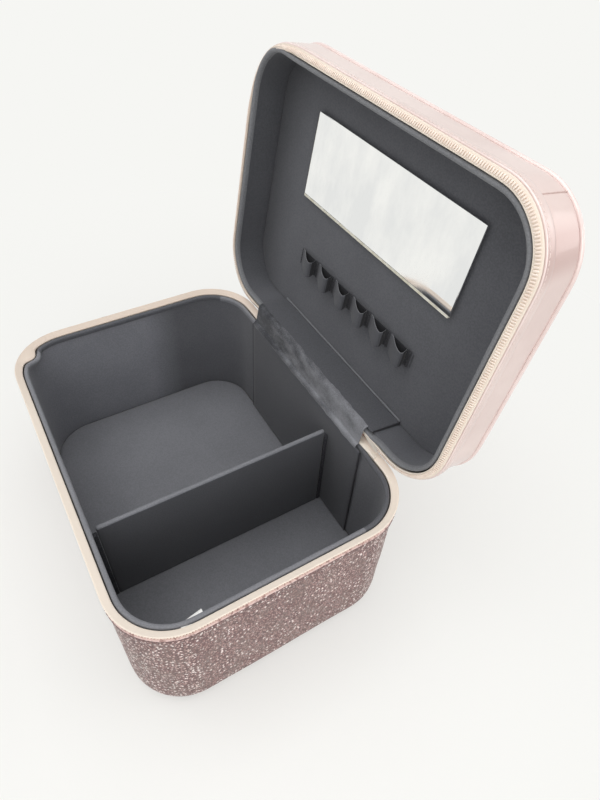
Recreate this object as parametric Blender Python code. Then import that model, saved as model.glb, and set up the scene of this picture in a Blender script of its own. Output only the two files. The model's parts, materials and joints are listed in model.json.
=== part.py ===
"""Makeup case: a rigid-walled, soft-lined case with a zipped lid on a fabric hinge, standing open.

Metres, +Z up. The origin is the centre of the base's underside, on the surface the case stands on.
The front is -Y, the hinge runs along X at the rear, and the lid leans back past upright.

Both shells are built on one rim line, the outside of the rolled lining lip. A wall is drawn once as a
section of (out, deep) pairs: out is measured outwards from the rim line, and deep is measured from the
lip into the shell. The section is then swept round the rim.
"""

import math

import bmesh
import bpy
from mathutils import Euler, Vector

# Rim line
RIM_LENGTH = 0.240
RIM_WIDTH = 0.168
RIM_CORNER_RADIUS = 0.032
CORNER_STEPS = 8
SHARPEST_MITRE = math.cos(math.radians(60))
SHARP_EDGE_ANGLE = math.radians(35)

# Shells
BASE_HEIGHT = 0.100
LID_INNER_DEPTH = 0.0238
CLOSED_LIP_GAP = 0.003

# Lid hinge: where the hinge cloth bends, and how far the lid leans when its lining strip is tight
HINGE_SETBACK = 0.0042
HINGE_RISE = 0.0065
OPEN_ANGLE = math.radians(98.5)

# Sheet stock
SEAM_GAP = 0.0003
LINING_THICKNESS = 0.0012
BOARD_THICKNESS = 0.0024
COVER_THICKNESS = 0.0020
TOP_COVER_THICKNESS = 0.0010

# Rolled lining lip
LIP_WIDTH = 0.0026
LIP_DROP = 0.0032
LIP_STEPS = 6

# Folded and stitched hem of each cover
HEM_START = 0.0025
HEM_LENGTH = 0.0065
HEM_THICKNESS = 0.0024
HEM_ROUNDING = 0.0006
HEM_SLOPE = 0.0013

# Rounded lower edge of the base
BASE_EDGE_RADIUS = 0.011
BASE_TURN_UNDER = 0.008
EDGE_STEPS = 6

# Zip
TAPE_THICKNESS = 0.0008
TAPE_SEAM_LENGTH = 0.0060
TAPE_BULGE = 0.0007
TAPE_SHOW = 0.0011
TAPE_SHOULDER_SHARE = 0.8
TAPE_DIP = 0.0001
TAPE_END_HALF = 0.0572
COIL_WIDTH = 0.0020
COIL_THICKNESS = 0.0010
COIL_SETBACK = 0.00045
COIL_END_HALF = 0.0803
TAPE_PATCH_LENGTH = 0.0095
TAPE_PATCH_THICKNESS = 0.0005

# Piping round the lid's top edge
PIPING_RADIUS = 0.0013
PIPING_PROUD = 0.0005
PIPING_SIDES = 10

# Lined panels that cover the hinge seams
REAR_PANEL_HALF = 0.0710
REAR_PANEL_THICKNESS = 0.0012
REAR_PANEL_CLEARANCE = 0.0012

# Hinge cloths
LINING_STRIP_HALF = 0.070
LINING_STRIP_THICKNESS = 0.0008
LINING_STRIP_LIFT = 0.0012
LINING_STRIP_TUCK = 0.0009
LINING_STRIP_DIP = 0.0002
COVER_STRIP_HALF = 0.0565
COVER_STRIP_THICKNESS = 0.0010
COVER_STRIP_LAP = 0.0085
COVER_STRIP_FREE = 0.0045
COVER_STRIP_BULGE = 0.00025

# Removable divider
DIVIDER_FACE_X = 0.0386
DIVIDER_THICKNESS = 0.0029
DIVIDER_TOP_DROP = 0.0125
DIVIDER_LOWER_CLEARANCE = 0.0005
DIVIDER_FRONT_CLEARANCE = 0.0008
HOOK_PAD_DEPTH = 0.0025
HOOK_PAD_SHORTFALL = 0.006

# Mirror on the lid board
MIRROR_LENGTH = 0.148
MIRROR_WIDTH = 0.054
MIRROR_CENTRE_X = 0.002
MIRROR_CENTRE_Y = -0.0295
MIRROR_CORNER_RADIUS = 0.0008
MIRROR_GLASS_THICKNESS = 0.0013
MIRROR_BACKING_THICKNESS = 0.0006
MIRROR_BACKING_MARGIN = 0.0004

# Elastic band with brush loops
LOOP_COUNT = 6
LOOP_PITCH = 0.0204
LOOP_SPAN = 0.0135
LOOP_HEIGHT = 0.0076
LOOP_LEAN = 0.0032
LOOP_STEPS = 12
LOOP_FULLNESS_SHARE = 0.6
FIRST_LOOP_X = -0.0603
BAND_LEFT_TAIL = 0.0027
BAND_RIGHT_TAIL = 0.0065
BAND_WIDTH = 0.0115
BAND_THICKNESS = 0.0010
BAND_CENTRE_Y = 0.0375

# Blank sewn-in tag
TAG_WIDTH = 0.010
TAG_HANG = 0.010
TAG_REACH = 0.0042
TAG_THICKNESS = 0.0005
TAG_START_Y = -0.057
TAG_DROP = 0.0010
TAG_STEPS = 5

# Zip sliders and pull tabs
SLIDER_CENTRE_X = 0.0645
SLIDER_LENGTH = 0.011
SLIDER_HEIGHT = 0.0052
SLIDER_DEPTH = 0.0040
SLIDER_CORNER_RADIUS = 0.0020
SLIDER_EDGE = 0.0005
SLIDER_STANDOFF = 0.0039
BRIDGE_RADIUS = 0.0008
BRIDGE_HALF_SPAN = 0.0030
BRIDGE_REACH = 0.0024
BRIDGE_BEND_SHARE = 1.25
BRIDGE_SIDES = 10
PULL_EYE_WIDTH = 0.0034
PULL_EYE_RADIUS = 0.0020
PULL_EYE_CLEARANCE = 0.0003
PULL_WIDTH = 0.0064
PULL_LENGTH = 0.027
PULL_THICKNESS = 0.0015
PULL_CORNER_RADIUS = 0.0022
PULL_EDGE = 0.0003
PULL_EYE_SIDES = 16

# Sizes that follow from the ones above
RIM_REAR = RIM_WIDTH / 2
INNER_OUT = -LIP_WIDTH
LINING_OUT = INNER_OUT + LINING_THICKNESS
BOARD_IN = LINING_OUT + SEAM_GAP
BOARD_OUT = BOARD_IN + BOARD_THICKNESS
COVER_IN = BOARD_OUT + SEAM_GAP
COVER_OUT = COVER_IN + COVER_THICKNESS
TAPE_MIDDLE = BOARD_OUT + SEAM_GAP + TAPE_THICKNESS / 2
HEM_IN = TAPE_MIDDLE + TAPE_THICKNESS / 2 + SEAM_GAP
HEM_OUT = HEM_IN + HEM_THICKNESS
HEM_END = HEM_START + HEM_LENGTH
BOARD_START = LIP_DROP + SEAM_GAP
FLOOR_BOARD_LOW = COVER_THICKNESS + SEAM_GAP
FLOOR_BOARD_TOP = FLOOR_BOARD_LOW + BOARD_THICKNESS
FLOOR_LINING_LOW = FLOOR_BOARD_TOP + SEAM_GAP
FLOOR_TOP = FLOOR_LINING_LOW + LINING_THICKNESS
LID_BOARD_START = LID_INNER_DEPTH + LINING_THICKNESS + SEAM_GAP
LID_BOARD_END = LID_BOARD_START + BOARD_THICKNESS
LID_DEPTH = LID_BOARD_END + SEAM_GAP + TOP_COVER_THICKNESS
EDGE_CENTRE_OUT = COVER_OUT - BASE_EDGE_RADIUS
BOARD_EDGE_RADIUS = BASE_EDGE_RADIUS - COVER_THICKNESS - SEAM_GAP
HINGE_LINE = Vector((0, RIM_REAR + HINGE_SETBACK, BASE_HEIGHT + HINGE_RISE))
REAR_PANEL_FACE_OUT = INNER_OUT - SEAM_GAP - REAR_PANEL_THICKNESS
MIRROR_BACKING_DEEP = LID_INNER_DEPTH - SEAM_GAP
MIRROR_GLASS_DEEP = MIRROR_BACKING_DEEP - MIRROR_BACKING_THICKNESS - SEAM_GAP


def base_height(deep):
    """World height of a point that lies deep below the base's lip."""
    return BASE_HEIGHT - deep


def lid_height(deep):
    """Height of a point that lies deep above the lid's lip, with the lid shut."""
    return BASE_HEIGHT + CLOSED_LIP_GAP + deep


def opened(y, z):
    """Where a point of the shut lid goes when the lid leans open."""
    arm_y = y - HINGE_LINE.y
    arm_z = z - HINGE_LINE.z
    turned_y = arm_y * math.cos(OPEN_ANGLE) + arm_z * math.sin(OPEN_ANGLE)
    turned_z = arm_z * math.cos(OPEN_ANGLE) - arm_y * math.sin(OPEN_ANGLE)
    return HINGE_LINE.y + turned_y, HINGE_LINE.z + turned_z


def linear(red, green, blue):
    """A colour written in display values from 0 to 255, as Blender's linear one."""
    shares = (red / 255, green / 255, blue / 255)
    bent = [s / 12.92 if s <= 0.04045 else ((s + 0.055) / 1.055) ** 2.4 for s in shares]
    return (*bent, 1.0)


def finish(name, colour, roughness, metallic=0.0):
    """A plain Principled material."""
    made = bpy.data.materials.new(name)
    made.use_nodes = True
    shader = made.node_tree.nodes["Principled BSDF"]
    shader.inputs["Base Color"].default_value = colour
    shader.inputs["Roughness"].default_value = roughness
    shader.inputs["Metallic"].default_value = metallic
    return made


def carrier(name, place, parent=None, turn=0.0):
    """An empty that carries one moving body, on its joint."""
    made = bpy.data.objects.new(name, None)
    made.empty_display_size = BASE_HEIGHT / 4
    made.parent = parent
    made.location = place
    made.rotation_euler = Euler((turn, 0, 0))
    bpy.context.scene.collection.objects.link(made)
    return made


def solid(name, shape, surface, body=None, origin=None):
    """Makes an object of a closed bmesh that is drawn in the shut case's frame."""
    if origin is not None:
        bmesh.ops.translate(shape, verts=shape.verts, vec=-Vector(origin))
    bmesh.ops.recalc_face_normals(shape, faces=shape.faces)
    mesh = bpy.data.meshes.new(name)
    shape.to_mesh(mesh)
    shape.free()
    mesh.shade_smooth()
    mesh.set_sharp_from_angle(angle=SHARP_EDGE_ANGLE)
    mesh.materials.append(surface)
    made = bpy.data.objects.new(name, mesh)
    made.parent = body
    bpy.context.scene.collection.objects.link(made)
    return made


def join(target, other):
    """Fuses a second solid into the first."""
    fused = target.modifiers.new("fused", "BOOLEAN")
    fused.operation = "UNION"
    fused.solver = "EXACT"
    fused.object = other
    other.hide_render = True
    other.display_type = "WIRE"


def arc(centre, radius, start, end, steps):
    """Points on an arc of a section, with angles in degrees from +out towards +deep."""
    points = []
    for step in range(steps + 1):
        angle = math.radians(start + (end - start) * step / steps)
        points.append((centre[0] + radius * math.cos(angle), centre[1] + radius * math.sin(angle)))
    return points


def sheet(path, thickness):
    """The closed outline of a sheet whose middle follows path."""
    left = []
    right = []
    for index, (here_a, here_b) in enumerate(path):
        before = path[max(index - 1, 0)]
        after = path[min(index + 1, len(path) - 1)]
        into = Vector((here_a - before[0], here_b - before[1]))
        away = Vector((after[0] - here_a, after[1] - here_b))
        into = into.normalized() if into.length > 0 else away.normalized()
        away = away.normalized() if away.length > 0 else into
        middle = (into + away).normalized()
        reach = thickness / 2 / max(middle.dot(into), SHARPEST_MITRE)
        left.append((here_a - middle.y * reach, here_b + middle.x * reach))
        right.append((here_a + middle.y * reach, here_b - middle.x * reach))
    return left + right[::-1]


def outline(length, width, radius, steps=CORNER_STEPS, end_half=None):
    """Stations (x, y, normal x, normal y) round a rounded rectangle, clockwise from the rear's right.

    With end_half the run is open, and starts and stops that far each side of the middle of the rear.
    """
    half_x = length / 2 - radius
    half_y = width / 2 - radius
    stations = []
    if end_half is not None:
        stations.append((end_half, width / 2, 0, 1))
    for side_x, side_y, start in ((1, 1, 90), (1, -1, 0), (-1, -1, -90), (-1, 1, -180)):
        for step in range(steps + 1):
            angle = math.radians(start - 90 * step / steps)
            normal_x = math.cos(angle)
            normal_y = math.sin(angle)
            x = side_x * half_x + radius * normal_x
            y = side_y * half_y + radius * normal_y
            stations.append((x, y, normal_x, normal_y))
    if end_half is not None:
        stations.append((-end_half, width / 2, 0, 1))
    return stations


def rim(end_half=None):
    return outline(RIM_LENGTH, RIM_WIDTH, RIM_CORNER_RADIUS, end_half=end_half)


def sweep(section, stations, height, closed=True):
    """Carries a section round the stations, as a ring or as an open run with capped ends."""
    shape = bmesh.new()
    rows = []
    for x, y, normal_x, normal_y in stations:
        row = [(x + normal_x * out, y + normal_y * out, height(deep)) for out, deep in section]
        rows.append([shape.verts.new(point) for point in row])
    last = len(rows) if closed else len(rows) - 1
    for index in range(last):
        here = rows[index]
        there = rows[(index + 1) % len(rows)]
        for corner in range(len(section)):
            shape.faces.new((here[corner], here[corner - 1], there[corner - 1], there[corner]))
    if not closed:
        shape.faces.new(rows[0])
        shape.faces.new(rows[-1][::-1])
    return shape


def slab(edge, stations, to_point):
    """A plate: edge lists (out, level) rings from its lower face to its upper one."""
    shape = bmesh.new()
    rings = []
    for out, level in edge:
        ring = []
        for x, y, normal_x, normal_y in stations:
            ring.append(shape.verts.new(to_point(x + normal_x * out, y + normal_y * out, level)))
        rings.append(ring)
    for low, high in zip(rings, rings[1:]):
        for corner in range(len(low)):
            shape.faces.new((low[corner], low[corner - 1], high[corner - 1], high[corner]))
    shape.faces.new(rings[0])
    shape.faces.new(rings[-1][::-1])
    return shape


def run(section, low, high, to_point):
    """A section of (a, b) pairs extruded from low to high along a third direction."""
    shape = bmesh.new()
    ends = []
    for along in (low, high):
        ends.append([shape.verts.new(to_point(along, a, b)) for a, b in section])
    for corner in range(len(section)):
        shape.faces.new((ends[0][corner], ends[0][corner - 1], ends[1][corner - 1], ends[1][corner]))
    shape.faces.new(ends[0])
    shape.faces.new(ends[1][::-1])
    return shape


def lining_section(end):
    """Wall lining from the rolled lip down to its end, with the lip hooked over the wall board."""
    radius = LIP_WIDTH / 2
    lip = arc((-radius, radius), radius, 180, 360, LIP_STEPS)
    return [(INNER_OUT, end), *lip, (0, LIP_DROP), (LINING_OUT, LIP_DROP), (LINING_OUT, end)]


def tape_path():
    """Middle of the zip tape: up through its seam, out over the hem and back to the coil."""
    seam_top = HEM_START + TAPE_DIP
    crest = TAPE_SHOW / 2
    return [
        (TAPE_MIDDLE, seam_top + TAPE_SEAM_LENGTH),
        (TAPE_MIDDLE, seam_top),
        (TAPE_MIDDLE + TAPE_BULGE, HEM_START - TAPE_THICKNESS),
        (TAPE_MIDDLE + TAPE_BULGE * TAPE_SHOULDER_SHARE, TAPE_SHOW - TAPE_DIP),
        (TAPE_MIDDLE, crest),
        (COIL_WIDTH / 2, crest - TAPE_DIP / 2),
    ]


def coil_section():
    """The nylon coil, sewn to the tape's free edge and standing just proud of the lip."""
    low = (TAPE_SHOW - TAPE_THICKNESS - TAPE_DIP) / 2 - SEAM_GAP
    outer = COIL_SETBACK + COIL_WIDTH
    radius = COIL_THICKNESS / 2
    return [
        *arc((COIL_SETBACK + radius, low - radius), radius, 90, 270, 4),
        *arc((outer - radius, low - radius), radius, 270, 450, 4),
    ]


def hem_section(end_points):
    """A cover's section: the folded hem at the rim, then the points that end the wall."""
    outer = HEM_OUT - HEM_ROUNDING
    inner = HEM_IN + HEM_ROUNDING
    level = HEM_START + HEM_ROUNDING
    return [
        (COVER_IN, HEM_END + HEM_SLOPE),
        (HEM_IN, HEM_END),
        *arc((inner, level), HEM_ROUNDING, 180, 270, 3),
        *arc((outer, level), HEM_ROUNDING, 270, 360, 3),
        (HEM_OUT, HEM_END),
        (COVER_OUT, HEM_END + HEM_SLOPE),
        *end_points,
    ]


def make_base(finishes):
    """The tray: boards, glitter cover, underside, linings, rear panel, zip half and tag."""
    edge_centre = (EDGE_CENTRE_OUT, BASE_HEIGHT - BASE_EDGE_RADIUS)
    turn_end = EDGE_CENTRE_OUT - BASE_TURN_UNDER
    wall_end = base_height(FLOOR_LINING_LOW)

    foot_angle = math.degrees(math.acos((BOARD_IN - EDGE_CENTRE_OUT) / BOARD_EDGE_RADIUS))
    wall_board = [
        (BOARD_IN, BOARD_START),
        (BOARD_OUT, BOARD_START),
        *arc(edge_centre, BOARD_EDGE_RADIUS, 0, foot_angle, EDGE_STEPS),
    ]
    solid("base_wall_board", sweep(wall_board, rim(), base_height), finishes["board"])

    board_reach = BASE_EDGE_RADIUS - FLOOR_BOARD_TOP
    board_angle = math.degrees(math.asin(board_reach / BOARD_EDGE_RADIUS))
    floor_edge = arc(edge_centre, BOARD_EDGE_RADIUS, 90, board_angle, EDGE_STEPS)
    case_point = lambda x, y, deep: (x, y, base_height(deep))
    solid("base_bottom_board", slab(floor_edge, rim(), case_point), finishes["board"])

    wrap = [
        *arc(edge_centre, BASE_EDGE_RADIUS, 0, 90, EDGE_STEPS),
        (turn_end, BASE_HEIGHT),
        (turn_end, BASE_HEIGHT - COVER_THICKNESS),
        *arc(edge_centre, BASE_EDGE_RADIUS - COVER_THICKNESS, 90, 0, EDGE_STEPS),
    ]
    solid("base_glitter_cover", sweep(hem_section(wrap), rim(), base_height), finishes["glitter"])

    under_edge = turn_end - SEAM_GAP
    under = [(under_edge, BASE_HEIGHT), (under_edge, BASE_HEIGHT - COVER_THICKNESS)]
    solid("base_underside_cover", slab(under, rim(), case_point), finishes["underside"])

    solid("base_wall_lining", sweep(lining_section(wall_end), rim(), base_height), finishes["lining"])
    floor_out = INNER_OUT - SEAM_GAP
    floor = [(floor_out, base_height(FLOOR_LINING_LOW)), (floor_out, base_height(FLOOR_TOP))]
    solid("base_floor_lining", slab(floor, rim(), case_point), finishes["lining"])

    make_rear_panel("base_rear_panel", base_height, BASE_HEIGHT - FLOOR_TOP - SEAM_GAP, finishes["lining"])
    make_zip_half("base", base_height, finishes)
    make_tape_patch(finishes["tape"])
    make_tag(finishes["tag"])


def make_rear_panel(name, height, end, surface, body=None, origin=None):
    """The flat lined panel over the seam of the hinge, inside a shell's rear wall."""
    middle = (REAR_PANEL_CLEARANCE + end) / 2
    half = REAR_PANEL_THICKNESS / 2
    stations = outline(2 * REAR_PANEL_HALF, end - REAR_PANEL_CLEARANCE, REAR_PANEL_THICKNESS, steps=3)
    edge = [(-half / 2, 0), (0, half / 2), (0, REAR_PANEL_THICKNESS)]
    face = RIM_REAR + REAR_PANEL_FACE_OUT
    shape = slab(edge, stations, lambda x, y, level: (x, face + level, height(middle + y)))
    return solid(name, shape, surface, body, origin)


def make_zip_half(shell, height, finishes, body=None, origin=None):
    """Zip tape and coil of one shell: an open run round three sides and both rear corners."""
    tape = sweep(sheet(tape_path(), TAPE_THICKNESS), rim(TAPE_END_HALF), height, closed=False)
    solid(shell + "_zip_tape", tape, finishes["tape"], body, origin)
    coil = sweep(coil_section(), rim(COIL_END_HALF), height, closed=False)
    solid(shell + "_zip_coil", coil, finishes["coil"], body, origin)


def make_tape_patch(surface):
    """The patch sewn over the zip tape's right end, beside the hinge."""
    lift = TAPE_THICKNESS / 2 + SEAM_GAP + TAPE_PATCH_THICKNESS / 2
    shoulder, crest, edge = tape_path()[3:]
    raised = [
        (shoulder[0] + lift, shoulder[1]),
        (crest[0] + lift / 2, crest[1] - lift),
        (edge[0], edge[1] - lift),
    ]
    section = sheet(raised, TAPE_PATCH_THICKNESS)
    end = COIL_END_HALF - SEAM_GAP
    start = end - TAPE_PATCH_LENGTH
    shape = run(section, start, end, lambda x, out, deep: (x, RIM_REAR + out, base_height(deep)))
    solid("zip_end_patch", shape, surface)


def make_tag(surface):
    """The blank tag sewn in under the lip of the right wall, which pokes inwards and then hangs."""
    corner_y = RIM_REAR - RIM_CORNER_RADIUS
    inner_radius = RIM_CORNER_RADIUS + INNER_OUT
    past_corner = max(-TAG_START_Y - corner_y, 0)
    bend = inner_radius - math.sqrt(inner_radius**2 - past_corner**2)
    start_x = RIM_LENGTH / 2 + INNER_OUT - bend - SEAM_GAP - TAG_THICKNESS
    high = base_height(TAG_DROP) - TAG_THICKNESS / 2
    path = []
    for step in range(TAG_STEPS + 1):
        angle = math.radians(90 * step / TAG_STEPS)
        path.append((start_x - TAG_REACH * math.sin(angle), high - TAG_REACH * (1 - math.cos(angle))))
    path.append((start_x - TAG_REACH, high - TAG_HANG))
    end_y = TAG_START_Y + TAG_WIDTH
    shape = run(sheet(path, TAG_THICKNESS), TAG_START_Y, end_y, lambda y, x, z: (x, y, z))
    solid("blank_tag", shape, surface)


def make_lid(body, finishes):
    """The lid: boards, smooth side band and top, piping, linings, rear panel, zip half, mirror, loops."""
    lining_end = LID_BOARD_START - SEAM_GAP
    lid_point = lambda x, y, deep: (x, y, lid_height(deep))

    wall_board = [
        (BOARD_IN, BOARD_START),
        (BOARD_OUT, BOARD_START),
        (BOARD_OUT, lining_end),
        (BOARD_IN, lining_end),
    ]
    solid("lid_wall_board", sweep(wall_board, rim(), lid_height), finishes["board"], body, HINGE_LINE)
    top_board = [(BOARD_OUT, LID_BOARD_START), (BOARD_OUT, LID_BOARD_END)]
    solid("lid_top_board", slab(top_board, rim(), lid_point), finishes["board"], body, HINGE_LINE)

    piping_deep = LID_DEPTH - PIPING_RADIUS + PIPING_PROUD
    piping_out = COVER_IN + SEAM_GAP + PIPING_RADIUS
    side_end = piping_deep - PIPING_RADIUS - SEAM_GAP
    side = sweep(hem_section([(COVER_OUT, side_end), (COVER_IN, side_end)]), rim(), lid_height)
    solid("lid_side_cover", side, finishes["smooth_cover"], body, HINGE_LINE)
    top_cover = [(COVER_IN, LID_DEPTH - TOP_COVER_THICKNESS), (COVER_IN, LID_DEPTH)]
    solid("lid_top_cover", slab(top_cover, rim(), lid_point), finishes["smooth_cover"], body, HINGE_LINE)
    turn = 360 * (PIPING_SIDES - 1) / PIPING_SIDES
    cord = arc((piping_out, piping_deep), PIPING_RADIUS, 0, turn, PIPING_SIDES - 1)
    piping = sweep(cord, rim(), lid_height)
    solid("lid_piping", piping, finishes["smooth_cover"], body, HINGE_LINE)

    lining = sweep(lining_section(lining_end), rim(), lid_height)
    solid("lid_wall_lining", lining, finishes["lining"], body, HINGE_LINE)
    panel_out = INNER_OUT - SEAM_GAP
    panel = [(panel_out, LID_INNER_DEPTH), (panel_out, lining_end)]
    solid("lid_board_lining", slab(panel, rim(), lid_point), finishes["lining"], body, HINGE_LINE)
    panel_end = LID_INNER_DEPTH - SEAM_GAP
    make_rear_panel("lid_rear_panel", lid_height, panel_end, finishes["lining"], body, HINGE_LINE)

    make_zip_half("lid", lid_height, finishes, body, HINGE_LINE)
    make_mirror(body, finishes)
    make_brush_band(body, finishes["elastic"])


def make_mirror(body, finishes):
    """Flat mirror glass on a slightly smaller backing, glued to the lid board."""
    def plate(name, margin, deep, thickness, surface):
        stations = outline(MIRROR_LENGTH, MIRROR_WIDTH, MIRROR_CORNER_RADIUS, steps=2)
        edge = [(-margin, deep), (-margin, deep - thickness)]
        to_point = lambda x, y, level: (x + MIRROR_CENTRE_X, y + MIRROR_CENTRE_Y, lid_height(level))
        solid(name, slab(edge, stations, to_point), surface, body, HINGE_LINE)

    margin = MIRROR_BACKING_MARGIN
    plate("mirror_backing", margin, MIRROR_BACKING_DEEP, MIRROR_BACKING_THICKNESS, finishes["backing"])
    plate("mirror_glass", 0, MIRROR_GLASS_DEEP, MIRROR_GLASS_THICKNESS, finishes["mirror"])


def make_brush_band(body, surface):
    """Elastic band sewn flat between its loops, each loop standing off the lid board and leaning right."""
    foot = SEAM_GAP + BAND_THICKNESS / 2
    rise = LOOP_HEIGHT - BAND_THICKNESS
    path = [(FIRST_LOOP_X - BAND_LEFT_TAIL, foot)]
    for loop in range(LOOP_COUNT):
        start = FIRST_LOOP_X + loop * LOOP_PITCH
        for step in range(LOOP_STEPS + 1):
            share = step / LOOP_STEPS
            height = max(math.sin(math.pi * share), 0) ** LOOP_FULLNESS_SHARE
            path.append((start + LOOP_SPAN * share + LOOP_LEAN * height, foot + rise * height))
    path.append((path[-1][0] + BAND_RIGHT_TAIL, foot))
    low = BAND_CENTRE_Y - BAND_WIDTH / 2
    high = BAND_CENTRE_Y + BAND_WIDTH / 2
    to_point = lambda y, x, off: (x, y, lid_height(LID_INNER_DEPTH - off))
    band = run(sheet(path, BAND_THICKNESS), low, high, to_point)
    solid("brush_loop_band", band, surface, body, HINGE_LINE)


def make_hinge_cloths(finishes):
    """The lining strip, tight between the lips, and the cover strip bent outside them."""
    tucked = (INNER_OUT - LINING_STRIP_TUCK, LINING_STRIP_DIP)
    inner_base = [tucked, (INNER_OUT + SEAM_GAP, -LINING_STRIP_LIFT)]
    base_run = [(RIM_REAR + out, base_height(deep)) for out, deep in inner_base]
    lid_run = [opened(RIM_REAR + out, lid_height(deep)) for out, deep in inner_base]
    path = base_run + lid_run[::-1]
    to_point = lambda x, y, z: (x, y, z)
    strip = run(sheet(path, LINING_STRIP_THICKNESS), -LINING_STRIP_HALF, LINING_STRIP_HALF, to_point)
    solid("hinge_lining_strip", strip, finishes["velvet"])

    out = HEM_OUT + SEAM_GAP + COVER_STRIP_THICKNESS / 2
    base_side = [(RIM_REAR + out, base_height(deep)) for deep in (COVER_STRIP_LAP, COVER_STRIP_FREE, 0)]
    lid_end = opened(RIM_REAR + out, lid_height(COVER_STRIP_LAP))
    lid_near = opened(RIM_REAR + out, lid_height((COVER_STRIP_LAP + COVER_STRIP_FREE) / 2))
    corner = (base_side[2][0] + COVER_STRIP_BULGE, (base_side[2][1] + lid_near[1]) / 2)
    strip = run(
        sheet([*base_side, corner, lid_near, lid_end], COVER_STRIP_THICKNESS),
        -COVER_STRIP_HALF,
        COVER_STRIP_HALF,
        to_point,
    )
    solid("hinge_cover_strip", strip, finishes["smooth_cover"])


def make_divider(finishes):
    """The lift-out divider: a lined board with a hook pad on each end."""
    centre_x = DIVIDER_FACE_X - DIVIDER_THICKNESS / 2
    low = FLOOR_TOP + DIVIDER_LOWER_CLEARANCE
    high = BASE_HEIGHT - DIVIDER_TOP_DROP
    front = -(RIM_REAR + INNER_OUT) + DIVIDER_FRONT_CLEARANCE
    rear = RIM_REAR + REAR_PANEL_FACE_OUT - SEAM_GAP
    body = carrier("divider_lift", (centre_x, 0, low))
    origin = body.location

    radius = DIVIDER_THICKNESS / 2
    board_front = front + HOOK_PAD_DEPTH + SEAM_GAP
    board_rear = rear - HOOK_PAD_DEPTH - SEAM_GAP
    top = arc((0, high - radius), radius, 180, 0, 6)
    profile = [(-radius, low), *top, (radius, low)]
    to_point = lambda y, x, z: (centre_x + x, y, z)
    board = run(profile, board_front, board_rear, to_point)
    solid("divider_board", board, finishes["lining"], body, origin)

    pad_top = high - HOOK_PAD_SHORTFALL
    pad = [(-radius, low), (-radius, pad_top), (radius, pad_top), (radius, low)]
    for end, pad_low in (("front", front), ("rear", rear - HOOK_PAD_DEPTH)):
        shape = run(pad, pad_low, pad_low + HOOK_PAD_DEPTH, to_point)
        solid("divider_" + end + "_hook_pad", shape, finishes["hook"], body, origin)


def make_slider(side, finishes):
    """One zip slider, parked at the hinge end of the zip, and the pull tab that hangs from it."""
    word = "right" if side > 0 else "left"
    low = base_height(HEM_START) + SEAM_GAP
    middle_z = low + SLIDER_HEIGHT / 2
    inner_y = RIM_REAR + SLIDER_STANDOFF
    outer_y = inner_y + SLIDER_DEPTH
    centre_x = side * SLIDER_CENTRE_X
    body = carrier("slider_" + word + "_travel", (centre_x, inner_y, middle_z))

    stations = outline(SLIDER_LENGTH, SLIDER_HEIGHT, SLIDER_CORNER_RADIUS, steps=4)
    edge = [
        (-SLIDER_EDGE, 0),
        (0, SLIDER_EDGE),
        (0, SLIDER_DEPTH - SLIDER_EDGE),
        (-SLIDER_EDGE, SLIDER_DEPTH),
    ]
    shape = slab(edge, stations, lambda x, z, level: (x, level, z))
    slider = solid("zip_slider_" + word, shape, finishes["metal"], body)

    bar_y = SLIDER_DEPTH + BRIDGE_REACH
    bend = BRIDGE_RADIUS * BRIDGE_BEND_SHARE
    buried = SLIDER_DEPTH - BRIDGE_RADIUS
    inner = BRIDGE_HALF_SPAN - bend
    legs = [(-BRIDGE_HALF_SPAN, buried)]
    legs += arc((-inner, bar_y - bend), bend, 180, 90, 3)
    legs += arc((inner, bar_y - bend), bend, 90, 0, 3)
    legs += [(BRIDGE_HALF_SPAN, buried)]
    bar = tube(legs, BRIDGE_RADIUS, BRIDGE_SIDES)
    bridge = solid("bridge_of_slider_" + word, bar, finishes["metal"], body)
    join(slider, bridge)

    pivot = carrier("pull_" + word + "_swing", (0, bar_y, 0), body)
    make_pull(word, pivot, finishes["metal"])


def tube(path, radius, sides):
    """A round rod whose middle follows (x, y) points in the plane z = 0."""
    shape = bmesh.new()
    rings = []
    for index, (x, y) in enumerate(path):
        before = Vector(path[max(index - 1, 0)])
        after = Vector(path[min(index + 1, len(path) - 1)])
        along = (after - before).normalized()
        ring = []
        for side in range(sides):
            angle = math.tau * side / sides
            across = radius * math.cos(angle)
            level = radius * math.sin(angle)
            ring.append(shape.verts.new((x - along.y * across, y + along.x * across, level)))
        rings.append(ring)
    for here, there in zip(rings, rings[1:]):
        for corner in range(sides):
            shape.faces.new((here[corner], here[corner - 1], there[corner - 1], there[corner]))
    shape.faces.new(rings[0])
    shape.faces.new(rings[-1][::-1])
    return shape


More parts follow.
